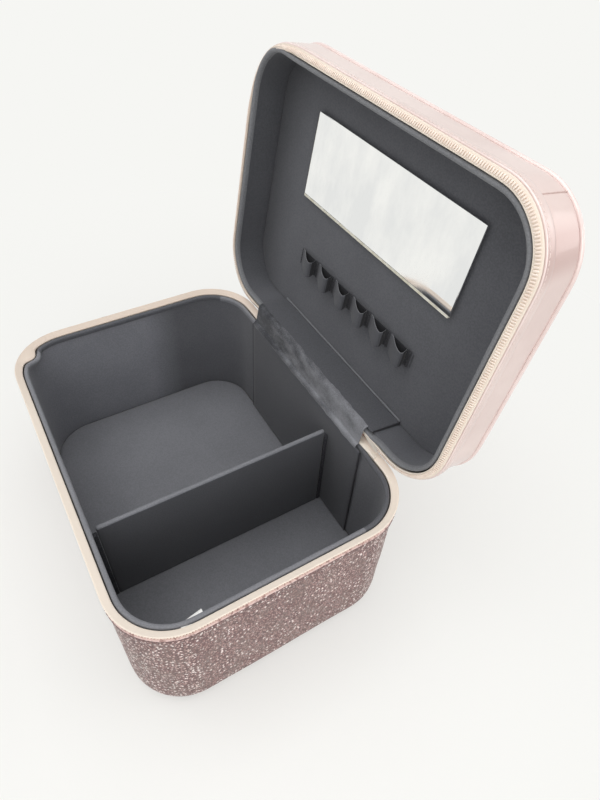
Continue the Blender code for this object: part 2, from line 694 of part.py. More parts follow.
def make_pull(word, pivot, surface):
    """A flat tab with an eye that turns on the slider's bridge; the origin is the bridge's middle."""
    hole = BRIDGE_RADIUS + PULL_EYE_CLEARANCE
    shape = bmesh.new()
    rings = []
    for radius in (hole, PULL_EYE_RADIUS):
        for x in (-PULL_EYE_WIDTH / 2, PULL_EYE_WIDTH / 2):
            ring = []
            for side in range(PULL_EYE_SIDES):
                angle = math.tau * side / PULL_EYE_SIDES
                ring.append(shape.verts.new((x, radius * math.cos(angle), radius * math.sin(angle))))
            rings.append(ring)
    for low, high in ((0, 1), (1, 3), (3, 2), (2, 0)):
        for corner in range(PULL_EYE_SIDES):
            here = rings[low]
            there = rings[high]
            shape.faces.new((here[corner], here[corner - 1], there[corner - 1], there[corner]))
    eye = solid("eye_of_pull_" + word, shape, surface, pivot)

    top = -(hole + PULL_EYE_RADIUS) / 2
    middle = top - PULL_LENGTH / 2
    stations = outline(PULL_WIDTH, PULL_LENGTH, PULL_CORNER_RADIUS, steps=4)
    half = PULL_THICKNESS / 2
    edge = [(-PULL_EDGE, -half), (0, PULL_EDGE - half), (0, half - PULL_EDGE), (-PULL_EDGE, half)]
    plate = slab(edge, stations, lambda x, z, level: (x, level, middle + z))
    tab = solid("pull_tab_" + word, plate, surface, pivot)
    join(tab, eye)


def clear_scene():
    for old in list(bpy.data.objects):
        bpy.data.objects.remove(old, do_unlink=True)


def make_finishes():
    """One finish for each material that the case is made of."""
    return {
        "board": finish("grey_board", linear(150, 140, 128), 0.90),
        "glitter": finish("rose_glitter_cloth", linear(158, 126, 122), 0.55, 0.25),
        "underside": finish("smooth_underside", linear(214, 190, 182), 0.55),
        "smooth_cover": finish("rose_smooth_cover", linear(226, 203, 196), 0.38, 0.20),
        "lining": finish("slate_lining", linear(84, 85, 90), 0.92),
        "velvet": finish("slate_hinge_velvet", linear(124, 125, 130), 0.95),
        "elastic": finish("charcoal_elastic", linear(62, 63, 68), 0.88),
        "hook": finish("black_hook_pad", linear(46, 46, 50), 0.95),
        "tape": finish("champagne_zip_tape", linear(240, 226, 214), 0.80),
        "coil": finish("champagne_zip_coil", linear(236, 220, 206), 0.45),
        "tag": finish("white_blank_tag", linear(244, 244, 242), 0.75),
        "mirror": finish("mirror_glass", linear(236, 238, 238), 0.03, 1.0),
        "backing": finish("cream_mirror_backing", linear(226, 218, 190), 0.70),
        "metal": finish("rose_metal", linear(222, 178, 160), 0.28, 1.0),
    }


def main():
    clear_scene()
    finishes = make_finishes()
    make_base(finishes)
    lid = carrier("lid_hinge", HINGE_LINE, turn=-OPEN_ANGLE)
    make_lid(lid, finishes)
    make_hinge_cloths(finishes)
    make_divider(finishes)
    for side in (1, -1):
        make_slider(side, finishes)


main()
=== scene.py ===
import json
import math

import bmesh
import bpy
from mathutils import Euler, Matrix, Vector


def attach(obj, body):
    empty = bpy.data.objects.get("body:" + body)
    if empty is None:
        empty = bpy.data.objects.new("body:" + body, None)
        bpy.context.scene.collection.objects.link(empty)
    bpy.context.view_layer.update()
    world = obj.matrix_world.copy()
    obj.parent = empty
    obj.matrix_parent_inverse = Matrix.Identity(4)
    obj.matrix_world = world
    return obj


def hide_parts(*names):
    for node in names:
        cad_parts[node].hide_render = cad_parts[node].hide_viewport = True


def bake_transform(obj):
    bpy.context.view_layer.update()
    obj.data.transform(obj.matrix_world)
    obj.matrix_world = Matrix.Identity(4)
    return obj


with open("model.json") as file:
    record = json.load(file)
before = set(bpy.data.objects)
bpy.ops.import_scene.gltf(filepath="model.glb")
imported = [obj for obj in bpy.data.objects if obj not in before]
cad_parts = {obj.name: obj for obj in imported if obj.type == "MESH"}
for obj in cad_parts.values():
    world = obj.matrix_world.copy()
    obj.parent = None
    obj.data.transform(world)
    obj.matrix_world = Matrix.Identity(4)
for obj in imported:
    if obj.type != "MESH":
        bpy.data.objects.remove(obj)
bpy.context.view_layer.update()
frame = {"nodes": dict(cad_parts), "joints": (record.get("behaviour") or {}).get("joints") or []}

MM = 0.001


def mm(*sizes):
    """Sizes in millimetres, as a vector in metres."""
    return Vector(sizes) * MM


# Rim line: the outside of the rolled lip, which both shells are built on
RIM_LENGTH = 240 * MM
RIM_WIDTH = 168 * MM
RIM_CORNER = 32 * MM
REAR = RIM_WIDTH / 2
CORNER_X = RIM_LENGTH / 2 - RIM_CORNER
CORNER_Y = REAR - RIM_CORNER
CORNER_STEPS = 12
RUN_STEP = 8 * MM

# Heights of the two lips with the lid shut, of the floor, and of the lid's board and top above its lip
BASE_LIP = 100 * MM
LID_LIP = 103 * MM
FLOOR = 5.8 * MM
LID_BOARD = 23.8 * MM
LID_TOP = 29 * MM

# Lid hinge, as the frame gives it
lid_joint = next(joint for joint in frame["joints"] if joint["name"] == "lid_hinge")
HINGE = Vector(lid_joint["pos_m"])
OPEN_ANGLE = math.radians(lid_joint["range_deg"][1])

# Ends of the hinge cloths, the rear panels, the tape and the coil, from the middle of the rear
HINGE_CLOTH_LEFT = 70 * MM
HINGE_CLOTH_RIGHT = 66.5 * MM
HINGE_COVER_END = 56.5 * MM
PANEL_END = 71 * MM
TAPE_END = 57 * MM
COIL_END = 80 * MM

# The rear panels' face and thickness, and where they start behind the lip
PANEL_FACE = REAR - 4.1 * MM
PANEL_THICKNESS = 1.2 * MM
PANEL_START = 1.3 * MM

# Points nearer than this are merged; a drawn line starts from a patch of this size; and one spot's reach
MERGE = 0.002 * MM
POINT = 1 * MM
SAME_SPOT = 0.5 * MM


# Modelling by hand


def begin(name, add, scale=(1, 1, 1), **placing):
    """Adds a primitive at its place and size, with nothing else selected, and names it."""
    bpy.ops.object.select_all(action="DESELECT")
    add(**placing)
    made = bpy.context.object
    made.name = name
    made.data.name = name
    made.scale = scale
    bpy.ops.object.transform_apply(location=True, rotation=True, scale=True)
    return made


def box(name, centre, size):
    return begin(name, bpy.ops.mesh.primitive_cube_add, size, size=1, location=centre)


def take_up(piece):
    """Selects one piece alone."""
    bpy.ops.object.select_all(action="DESELECT")
    piece.select_set(True)
    bpy.context.view_layer.objects.active = piece


def open_mesh(piece):
    take_up(piece)
    bpy.ops.object.mode_set(mode="EDIT")


def leave_mesh():
    bpy.ops.object.mode_set(mode="OBJECT")


def pick(kind, wanted):
    """Selects the points, edges or faces that pass a test, and no others."""
    bpy.ops.mesh.select_all(action="DESELECT")
    bpy.ops.mesh.select_mode(type=kind)
    mesh = bpy.context.object.data
    shape = bmesh.from_edit_mesh(mesh)
    for item in {"VERT": shape.verts, "EDGE": shape.edges, "FACE": shape.faces}[kind]:
        item.select_set(bool(wanted(item)))
    shape.select_flush_mode()
    bmesh.update_edit_mesh(mesh)


def pick_all():
    bpy.ops.mesh.select_all(action="SELECT")


def runs_along(edge, axis):
    span = edge.verts[0].co - edge.verts[1].co
    return abs(span[axis]) > 0.99 * span.length


def pick_edges_along(axis):
    pick("EDGE", lambda edge: runs_along(edge, axis))


def middle(face):
    return face.calc_center_median()


def shift(move):
    bpy.ops.transform.translate(value=move)


def extrude(move):
    bpy.ops.mesh.extrude_region_move(TRANSFORM_OT_translate={"value": move})


def inset(width, rise):
    """Insets the picked faces and moves the inner ones."""
    bpy.ops.mesh.inset(thickness=width)
    shift(rise)


def draw_line(name, points, closed=True):
    """Draws a line point by point and leaves it picked, with its mesh open."""
    points = [Vector(point) for point in points]
    made = begin(name, bpy.ops.mesh.primitive_plane_add, size=POINT)
    bpy.ops.object.mode_set(mode="EDIT")
    bpy.ops.mesh.select_mode(type="VERT")
    bpy.ops.mesh.merge(type="CENTER")
    shift(points[0])
    for here, there in zip(points, points[1:] + points[:closed]):
        extrude(there - here)
    pick_all()
    bpy.ops.mesh.remove_doubles(threshold=MERGE)
    return made


def push(direction, distance, step=RUN_STEP):
    """Extrudes what is picked straight on, in even steps."""
    count = max(1, round(abs(distance) / step))
    for _ in range(count):
        extrude(Vector(direction) * (distance / count))


def turn(corner_x, corner_y, steps=CORNER_STEPS):
    """Spins what is picked round one corner."""
    bpy.ops.mesh.spin(steps=steps, angle=math.pi / 2, center=(corner_x, corner_y, 0), axis=(0, 0, 1))


def carry_round(start=0.0):
    """Carries what is picked round the rim, from start on the rear's right to as far on its left."""
    push((1, 0, 0), CORNER_X - start)
    turn(CORNER_X, CORNER_Y)
    push((0, -1, 0), 2 * CORNER_Y)
    turn(CORNER_X, -CORNER_Y)
    push((-1, 0, 0), 2 * CORNER_X)
    turn(-CORNER_X, -CORNER_Y)
    push((0, 1, 0), 2 * CORNER_Y)
    turn(-CORNER_X, CORNER_Y)
    push((1, 0, 0), CORNER_X - start)


def close_up(capped=False):
    """Merges the seam, caps open ends if asked, points the faces outwards and leaves the mesh."""
    pick_all()
    bpy.ops.mesh.remove_doubles(threshold=MERGE)
    if capped:
        bpy.ops.mesh.fill_holes(sides=0)
    pick_all()
    bpy.ops.mesh.normals_make_consistent(inside=False)
    leave_mesh()


def modify(piece, kind, **settings):
    """Adds one modifier and applies it."""
    take_up(piece)
    added = piece.modifiers.new(kind, kind)
    for name, value in settings.items():
        setattr(added, name, value)
    bpy.ops.object.modifier_apply(modifier=added.name)


def round_off(piece):
    modify(piece, "SUBSURF", levels=1, render_levels=1)


def thicken(piece, thickness):
    modify(piece, "SOLIDIFY", thickness=thickness, offset=0)


def soften_edges(piece, width, angle):
    modify(piece, "BEVEL", width=width, segments=2, limit_method="ANGLE", angle_limit=math.radians(angle))


def ruffle(piece, height, size, depth=2):
    """Gives soft goods their small swells and hollows."""
    swell = bpy.data.textures.new(piece.name + "_swell", "CLOUDS")
    swell.noise_scale = size
    swell.noise_depth = depth
    modify(piece, "DISPLACE", texture=swell, texture_coords="LOCAL", strength=height, mid_level=0.5)
    bpy.data.textures.remove(swell)


def press(piece, spot, reach, move, held=None):
    """Presses or lifts soft goods at one spot, fading out over some reach; what is held stays."""
    open_mesh(piece)
    shape = bmesh.from_edit_mesh(piece.data)
    nearest = min(shape.verts, key=lambda point: (point.co - spot).length)
    spot = nearest.co.copy()
    if held is not None:
        pick("VERT", held)
        bpy.ops.mesh.hide(unselected=False)
    pick("VERT", lambda point: not point.hide and (point.co - spot).length < SAME_SPOT)
    bpy.ops.transform.translate(
        value=move, use_proportional_edit=True, proportional_edit_falloff="SMOOTH", proportional_size=reach
    )
    bpy.ops.mesh.reveal(select=False)
    leave_mesh()


def smooth(piece, angle):
    take_up(piece)
    bpy.ops.object.shade_smooth_by_angle(angle=math.radians(angle))


def lean_open(piece):
    """Leans a piece of the shut lid back to where the open lid has it."""
    take_up(piece)
    bpy.ops.transform.rotate(value=OPEN_ANGLE, orient_axis="X", center_override=HINGE)
    bpy.ops.object.transform_apply(location=True, rotation=True, scale=True)


def recolour(piece, finish, wanted):
    """Gives some faces of a piece a second finish."""
    piece.data.materials.append(finishes[finish])
    open_mesh(piece)
    pick("FACE", wanted)
    piece.active_material_index = len(piece.data.materials) - 1
    bpy.ops.object.material_slot_assign()
    leave_mesh()


def merge_into(name, pieces):
    """Joins several pieces into one."""
    bpy.ops.object.select_all(action="DESELECT")
    for piece in pieces:
        piece.select_set(True)
    bpy.context.view_layer.objects.active = pieces[0]
    bpy.ops.object.join()
    pieces[0].name = name
    pieces[0].data.name = name
    return pieces[0]


def finish_off(piece, body, slot, finish, *nodes, angle=60, second=()):
    """Shades a piece unless it is shaded, and gives it its finishes and body; the lid's leans back. Its slot
    is not used.
    """
    if angle:
        smooth(piece, angle)
    piece.data.materials.clear()
    piece.data.materials.append(finishes[finish])
    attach(piece, body)
    if nodes:
        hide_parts(*nodes)
    for other, wanted in second:
        recolour(piece, other, wanted)
    if body == "lid":
        lean_open(piece)


class Shell:
    """Where one of the two shells has its lip, and which way deeper into it lies."""

    def __init__(self, name, lip, deeper):
        self.name = name
        self.lip = lip
        self.deeper = deeper

    def height(self, deep):
        return self.lip + self.deeper * deep

    def depth(self, face):
        return self.deeper * (middle(face).z - self.lip)

    def carry(self, name, section, end=0.0):
        """A closed section carried once round the rim, or between two ends on the rear."""
        points = [(end, REAR + out * MM, self.height(deep * MM)) for out, deep in section]
        made = draw_line(name, points)
        carry_round(end)
        close_up(capped=end > 0)
        round_off(made)
        return made

    def repeat(self, piece, out, deep, pitch, start=0.0):
        """Repeats a small piece round the rim, along a guide curve that is dropped afterwards."""
        draw_line("guide", [(start, REAR + out, self.height(deep))], closed=False)
        carry_round(start)
        leave_mesh()
        bpy.ops.object.convert(target="CURVE")
        guide = bpy.context.object
        guide.data.twist_mode = "Z_UP"
        run = guide.data.splines[0].calc_length()
        count = int(run / pitch)
        modify(
            piece, "ARRAY", count=count, use_relative_offset=False, use_constant_offset=True,
            constant_offset_displace=(run / count, 0, 0),
        )
        modify(piece, "CURVE", object=guide, deform_axis="POS_X")
        bpy.data.objects.remove(guide, do_unlink=True)


BASE = Shell("base", BASE_LIP, -1)
LID = Shell("lid", LID_LIP, 1)


def opened(out, deep):
    """Where a point of the shut lid's section at the rear lies on the open lid, as (y, z)."""
    arm = Vector((0, REAR + out * MM, LID.height(deep * MM))) - HINGE
    arm.rotate(Euler((-OPEN_ANGLE, 0, 0)))
    place = HINGE + arm
    return place.y, place.z


def lay_along_rim(piece):
    """Gives a piece a UV map that runs along the rim in u and outwards in v, both in metres."""
    layer = piece.data.uv_layers.new(name="along_rim")
    for loop in piece.data.loops:
        x, y, z = piece.data.vertices[loop.vertex_index].co
        near = Vector((max(-CORNER_X, min(CORNER_X, x)), max(-CORNER_Y, min(CORNER_Y, y))))
        arm = Vector((x, y)) - near
        swing = math.atan2(abs(arm.x), abs(arm.y))
        if y < 0:
            swing = math.pi - swing
        along = abs(near.x) if y > 0 else 2 * CORNER_X - abs(near.x)
        along += CORNER_Y - near.y + swing * RIM_CORNER
        layer.data[loop.index].uv = (math.copysign(along, x), arm.length - RIM_CORNER + z)


# Materials: colours are in display values from 0 to 255


def display(red, green, blue):
    """A colour in display values, as Blender's linear one."""
    shares = (red / 255, green / 255, blue / 255)
    return (*(s / 12.92 if s <= 0.04045 else ((s + 0.055) / 1.055) ** 2.4 for s in shares), 1.0)


class Nodes:
    """A node tree, and how it is added to."""

    def __init__(self, tree):
        self.tree = tree

    def feed(self, socket, value):
        if isinstance(value, bpy.types.NodeSocket):
            self.tree.links.new(value, socket)
        else:
            socket.default_value = value

    def add(self, kind, inputs, **settings):
        made = self.tree.nodes.new("ShaderNode" + kind)
        for name, value in settings.items():
            setattr(made, name, value)
        for key, value in inputs.items():
            self.feed(made.inputs[key], value)
        return made


class Finish(Nodes):
    """One material: a Principled surface and the nodes that feed it."""

    def __init__(self, name, colour, roughness, **sockets):
        self.material = bpy.data.materials.new(name)
        self.material.use_nodes = True
        super().__init__(self.material.node_tree)
        self.shader = self.tree.nodes["Principled BSDF"]
        self.set("Base Color", display(*colour))
        self.set("Roughness", roughness)
        for socket, value in sockets.items():
            self.set(socket.replace("_", " "), value)

    def set(self, socket, value):
        self.feed(self.shader.inputs[socket], value)

    def place(self, stretch=(1, 1, 1), lean=0.0, source="Object"):
        """The surface's own coordinates, leaned with the lid or stretched."""
        coordinates = self.add("TexCoord", {}).outputs[source]
        return self.add(
            "Mapping", {"Vector": coordinates, "Rotation": (lean, 0, 0), "Scale": stretch}
        ).outputs[0]

    def noise(self, place, size, detail, roughness=0.5):
        inputs = {"Vector": place, "Scale": 1 / size, "Detail": detail, "Roughness": roughness}
        return self.add("TexNoise", inputs).outputs["Fac"]

    def cells(self, place, size):
        return self.add("TexVoronoi", {"Vector": place, "Scale": 1 / size}).outputs

    def grain(self, place, size):
        return self.cells(place, size)["Distance"]

    def waves(self, place, size, direction, distortion=0.0):
        inputs = {"Vector": place, "Scale": math.pi / 10 / size, "Distortion": distortion, "Detail": 1.0}
        return self.add("TexWave", inputs, wave_type="BANDS", bands_direction=direction).outputs["Fac"]

    def axes(self, place):
        return self.add("SeparateXYZ", {"Vector": place}).outputs

    def ramp(self, source, *stops):
        """Colours or greys at places along 0 to 1."""
        made = self.add("ValToRGB", {"Fac": source})
        slots = made.color_ramp.elements
        while len(slots) < len(stops):
            slots.new(1.0)
        for slot, (place, tone) in zip(slots, stops):
            slot.position = place
            slot.color = display(*tone) if isinstance(tone, tuple) else (tone, tone, tone, 1)
        return made.outputs["Color"]

    def spread(self, value, start, end, low=0.0, high=1.0, kind="LINEAR"):
        """Turns start to end into low to high."""
        inputs = {"Value": value, "From Min": start, "From Max": end, "To Min": low, "To Max": high}
        return self.add("MapRange", inputs, interpolation_type=kind).outputs[0]

    def mix(self, share, first, second, blend="MIX"):
        return self.add("Mix", {0: share, 6: first, 7: second}, data_type="RGBA", blend_type=blend).outputs[2]

    def times(self, first, second):
        return self.add("Math", {0: first, 1: second}, operation="MULTIPLY").outputs[0]

    def weigh(self, *shares):
        """The sum of some patterns, each by its share."""
        total = 0.0
        for pattern, share in shares:
            total = self.add("Math", {0: pattern, 1: share, 2: total}, operation="MULTIPLY_ADD").outputs[0]
        return total

    def bump(self, height, depth, strength=1.0, under=None):
        inputs = {"Height": height, "Distance": depth, "Strength": strength}
        if under is not None:
            inputs["Normal"] = under
        return self.add("Bump", inputs).outputs["Normal"]


def two_tone(name, roughness, pattern, low, high, depth, strength=1.0, relief=None, wear=(), **sockets):
    """A finish whose tone follows a pattern; its relief follows that one too, unless it has its own."""
    finish = Finish(name, high[1], roughness, **sockets)
    place = finish.place()
    kind, *how = pattern
    tone = kind(finish, place, *how)
    finish.set("Base Color", finish.ramp(tone, low, high))
    if wear:
        finish.set("Roughness", finish.ramp(tone, *wear))
    if relief:
        kind, *how = relief
        tone = kind(finish, place, *how)
    finish.set("Normal", finish.bump(tone, depth, strength))
    return finish.material


def thread(name, low, high):
    """Sewing thread, with the twist of its plies."""
    twist = (Finish.noise, 0.35 * MM, 2)
    return two_tone(name, 0.7, twist, (0.35, low), (0.65, high), 0.1 * MM, 0.6, Sheen_Weight=0.2)


def glitter_cloth():
    """Dusty rose cloth under a crust of small round flakes, each with its own tone and tilt, some with
    near-white sparks that are painted glints.
    """
    finish = Finish("rose_glitter_cloth", (150, 120, 118), 0.5)
    place = finish.place((1, 1, 0.75))
    ground = finish.ramp(finish.noise(place, 0.6 * MM, 2), (0.38, (84, 60, 60)), (0.62, (136, 104, 102)))
    flakes = finish.cells(place, 1.15 * MM)
    tone = finish.add("SeparateColor", {"Color": flakes["Color"]}).outputs[0]
    flake = finish.ramp(
        tone, (0.0, (96, 70, 70)), (0.3, (148, 114, 111)), (0.6, (196, 160, 154)),
        (0.8, (244, 217, 210)), (1.0, (255, 246, 242)),
    )
    lying = finish.ramp(flakes["Distance"], (0.34, 1.0), (0.54, 0.0))
    crust = finish.mix(lying, ground, flake)
    # Near-white sparks on some flakes: painted glints
    glint_cells = finish.cells(place, 2.4 * MM)
    lit = finish.add("SeparateColor", {"Color": glint_cells["Color"]}).outputs[1]
    painted_glint = finish.times(
        finish.ramp(glint_cells["Distance"], (0.2, 1.0), (0.34, 0.0)), finish.ramp(lit, (0.45, 0.0), (0.55, 1.0))
    )
    with_painted_glints = finish.mix(painted_glint, crust, display(255, 242, 238))
    drift = finish.ramp(finish.noise(place, 11 * MM, 3), (0.4, 0.0), (0.7, 0.35))
    finish.set("Base Color", finish.mix(drift, with_painted_glints, display(136, 124, 116)))
    finish.set("Roughness", finish.ramp(tone, (0.0, 0.62), (1.0, 0.32)))
    finish.set("Metallic", finish.ramp(tone, (0.5, 0.0), (1.0, 0.35)))
    seat = finish.bump(lying, 0.25 * MM, 0.5)
    finish.set("Normal", finish.bump(tone, 0.3 * MM, 0.5, seat))
    return finish.material


# The side band's patch of painted shade, standing for a dark reflection: its middle, and how far it fades out
# along it and across
PAINTED_SHADE_PATCH = mm(122, 126, 260)
PAINTED_SHADE_ALONG = (4 * MM, 15 * MM)
PAINTED_SHADE_ACROSS = (6 * MM, 16 * MM)


def rose_cover(name, low, high, painted_shade_strength=0.0):
    """Rose imitation leather: satin under a clear coat, with a fine grain, soft swells and a patch of painted
    shade for a dark reflection.
    """
    finish = Finish(name, high, 0.34, Metallic=0.12, Coat_Weight=0.6, Coat_Roughness=0.1)
    place = finish.place()
    tone = finish.ramp(finish.noise(place, 34 * MM, 3), (0.36, low), (0.64, high))
    # Painted shade: a darker tone round one spot of the side band, standing for a dark reflection
    away = finish.add("VectorMath", {0: place, 1: PAINTED_SHADE_PATCH}, operation="SUBTRACT").outputs[0]
    apart = finish.axes(finish.add("VectorMath", {0: away}, operation="ABSOLUTE").outputs[0])
    near = finish.spread(apart["Z"], *PAINTED_SHADE_ALONG, painted_shade_strength, 0.0, "SMOOTHSTEP")
    beside = finish.spread(apart["X"], *PAINTED_SHADE_ACROSS, 1.0, 0.0)
    finish.set("Base Color", finish.mix(finish.times(near, beside), tone, display(196, 166, 160)))
    finish.set("Roughness", finish.ramp(finish.noise(place, 0.4 * MM, 3), (0.3, 0.28), (0.7, 0.4)))
    soft = finish.bump(finish.noise(place, 16 * MM, 2), 0.9 * MM, 0.5)
    finish.set("Normal", finish.bump(finish.grain(place, 0.7 * MM), 0.04 * MM, 0.3, soft))
    return finish.material


LINING_THREAD = 0.55 * MM


def slate_lining(name, low, high, lean=0.0, sides=(1.0, 1.0, 1.0), slant=0.0):
    """Matt slate lining: a fine plain weave with a short nap, with painted light and shade that make it
    lighter or darker from left to right.
    """
    finish = Finish(name, high, 0.92, Sheen_Weight=0.15, Sheen_Roughness=0.5)
    place = finish.place(lean=lean)
    weave = finish.weigh(*((finish.waves(place, LINING_THREAD, way, 0.6), 1.0) for way in "XYZ"))
    nap = finish.noise(place, 0.9 * MM, 4)
    cloud = finish.noise(place, 30 * MM, 2)
    cloth = finish.ramp(finish.weigh((nap, 0.75), (cloud, 0.25)), (0.4, low), (0.6, high))
    # Painted light and shade: the cloth is made lighter or darker along x from left to right, and along y by
    # the slant
    apart = finish.axes(finish.place())
    reach = finish.weigh((apart["X"], 1.0), (apart["Y"], slant))
    share = finish.spread(reach, -RIM_LENGTH / 2, RIM_LENGTH / 2)
    left, centre, right = (side / 2 for side in sides)
    drift = finish.ramp(share, (0.0, left), (0.05, left), (0.16, centre), (0.86, centre), (0.97, right))
    painted_light_doubled = finish.mix(1.0, drift, drift, "ADD")
    finish.set("Base Color", finish.mix(1.0, cloth, painted_light_doubled, "MULTIPLY"))
    threads = finish.bump(weave, 0.03 * MM, 0.3)
    finish.set("Normal", finish.bump(nap, 0.09 * MM, 0.35, threads))
    return finish.material


def hinge_velvet():
    """Short velvet, crushed in places, paler towards its right end."""
    finish = Finish("slate_hinge_velvet", (120, 121, 126), 0.95, Sheen_Weight=0.4, Sheen_Roughness=0.4)
    place = finish.place()
    nap = finish.noise(place, 0.6 * MM, 4)
    crush = finish.noise(finish.place((0.5, 1, 1)), 6 * MM, 3)
    paler_to_right = finish.spread(finish.axes(place)["X"], -HINGE_CLOTH_LEFT, HINGE_CLOTH_LEFT)
    tone = finish.weigh((nap, 0.35), (crush, 0.45), (paler_to_right, 0.34))
    finish.set("Base Color", finish.ramp(tone, (0.42, (54, 55, 60)), (0.76, (140, 141, 146))))
    soft = finish.bump(crush, 0.6 * MM, 0.5)
    finish.set("Normal", finish.bump(nap, 0.15 * MM, 0.6, soft))
    return finish.material


def elastic(name, low, high):
    """Elastic with fine ribs along its length."""
    finish = Finish(name, high, 0.88, Sheen_Weight=0.1)
    place = finish.place(lean=OPEN_ANGLE)
    tone = finish.weigh((finish.waves(place, 0.8 * MM, "Y"), 0.6), (finish.waves(place, 0.5 * MM, "X"), 0.4))
    finish.set("Base Color", finish.ramp(tone, (0.2, low), (0.8, high)))
    finish.set("Normal", finish.bump(tone, 0.1 * MM, 0.5))
    return finish.material


# Where the tape is painted duller, as shade, towards the left
TAPE_PAINTED_SHADE = (-50 * MM, -125 * MM)


def zip_tape(name, inner, outer, edges):
    """Woven tape: fine cross ribs along the rim, its tone changing from edge to edge, and painted shade that
    dulls it to the left.
    """
    finish = Finish(name, outer, 0.7, Sheen_Weight=0.1)
    place = finish.place(source="UV")
    cross = finish.waves(place, 0.75 * MM, "X")
    fine = finish.waves(place, 0.5 * MM, "Y")
    share = finish.spread(finish.axes(place)["Y"], *edges)
    soil = finish.noise(finish.place(), 12 * MM, 3)
    tone = finish.ramp(finish.weigh((share, 0.8), (soil, 0.4)), (0.3, inner), (0.85, outer))
    ribbed = finish.mix(finish.ramp(cross, (0.0, 0.12), (1.0, 0.0)), tone, display(190, 168, 158))
    # Painted shade: the tape is dulled towards the left
    dull = finish.spread(finish.axes(finish.place())["X"], *TAPE_PAINTED_SHADE, 0.0, 0.85)
    finish.set("Base Color", finish.mix(dull, ribbed, display(216, 199, 184)))
    ribs = finish.bump(cross, 0.08 * MM, 0.5)
    finish.set("Normal", finish.bump(fine, 0.04 * MM, 0.5, ribs))
    return finish.material


def mirror_silver():
    """Mirror glass with a few faint smudges."""
    finish = Finish("mirror_glass", (236, 238, 238), 0.02, Metallic=1.0)
    smudge = finish.noise(finish.place((1, 0.5, 0.5)), 22 * MM, 4, 0.6)
    finish.set("Base Color", finish.ramp(smudge, (0.35, (236, 237, 238)), (0.62, (250, 250, 249))))
    finish.set("Roughness", finish.ramp(smudge, (0.45, 0.02), (0.75, 0.12)))
    return finish.material


# Tape: its two tones, and where its inner and outer edge lie in the map along the rim
TAPE_TONES = ((249, 237, 222), (238, 213, 200))
BASE_TAPE_EDGES = (100.5 * MM, 106.5 * MM)
LID_TAPE_EDGES = (103.2 * MM, 109.5 * MM)
# The tape end's cream: the tape's own colour, raised lighter as painted light
CREAM_WITH_PAINTED_LIGHT = (255, 246, 232)

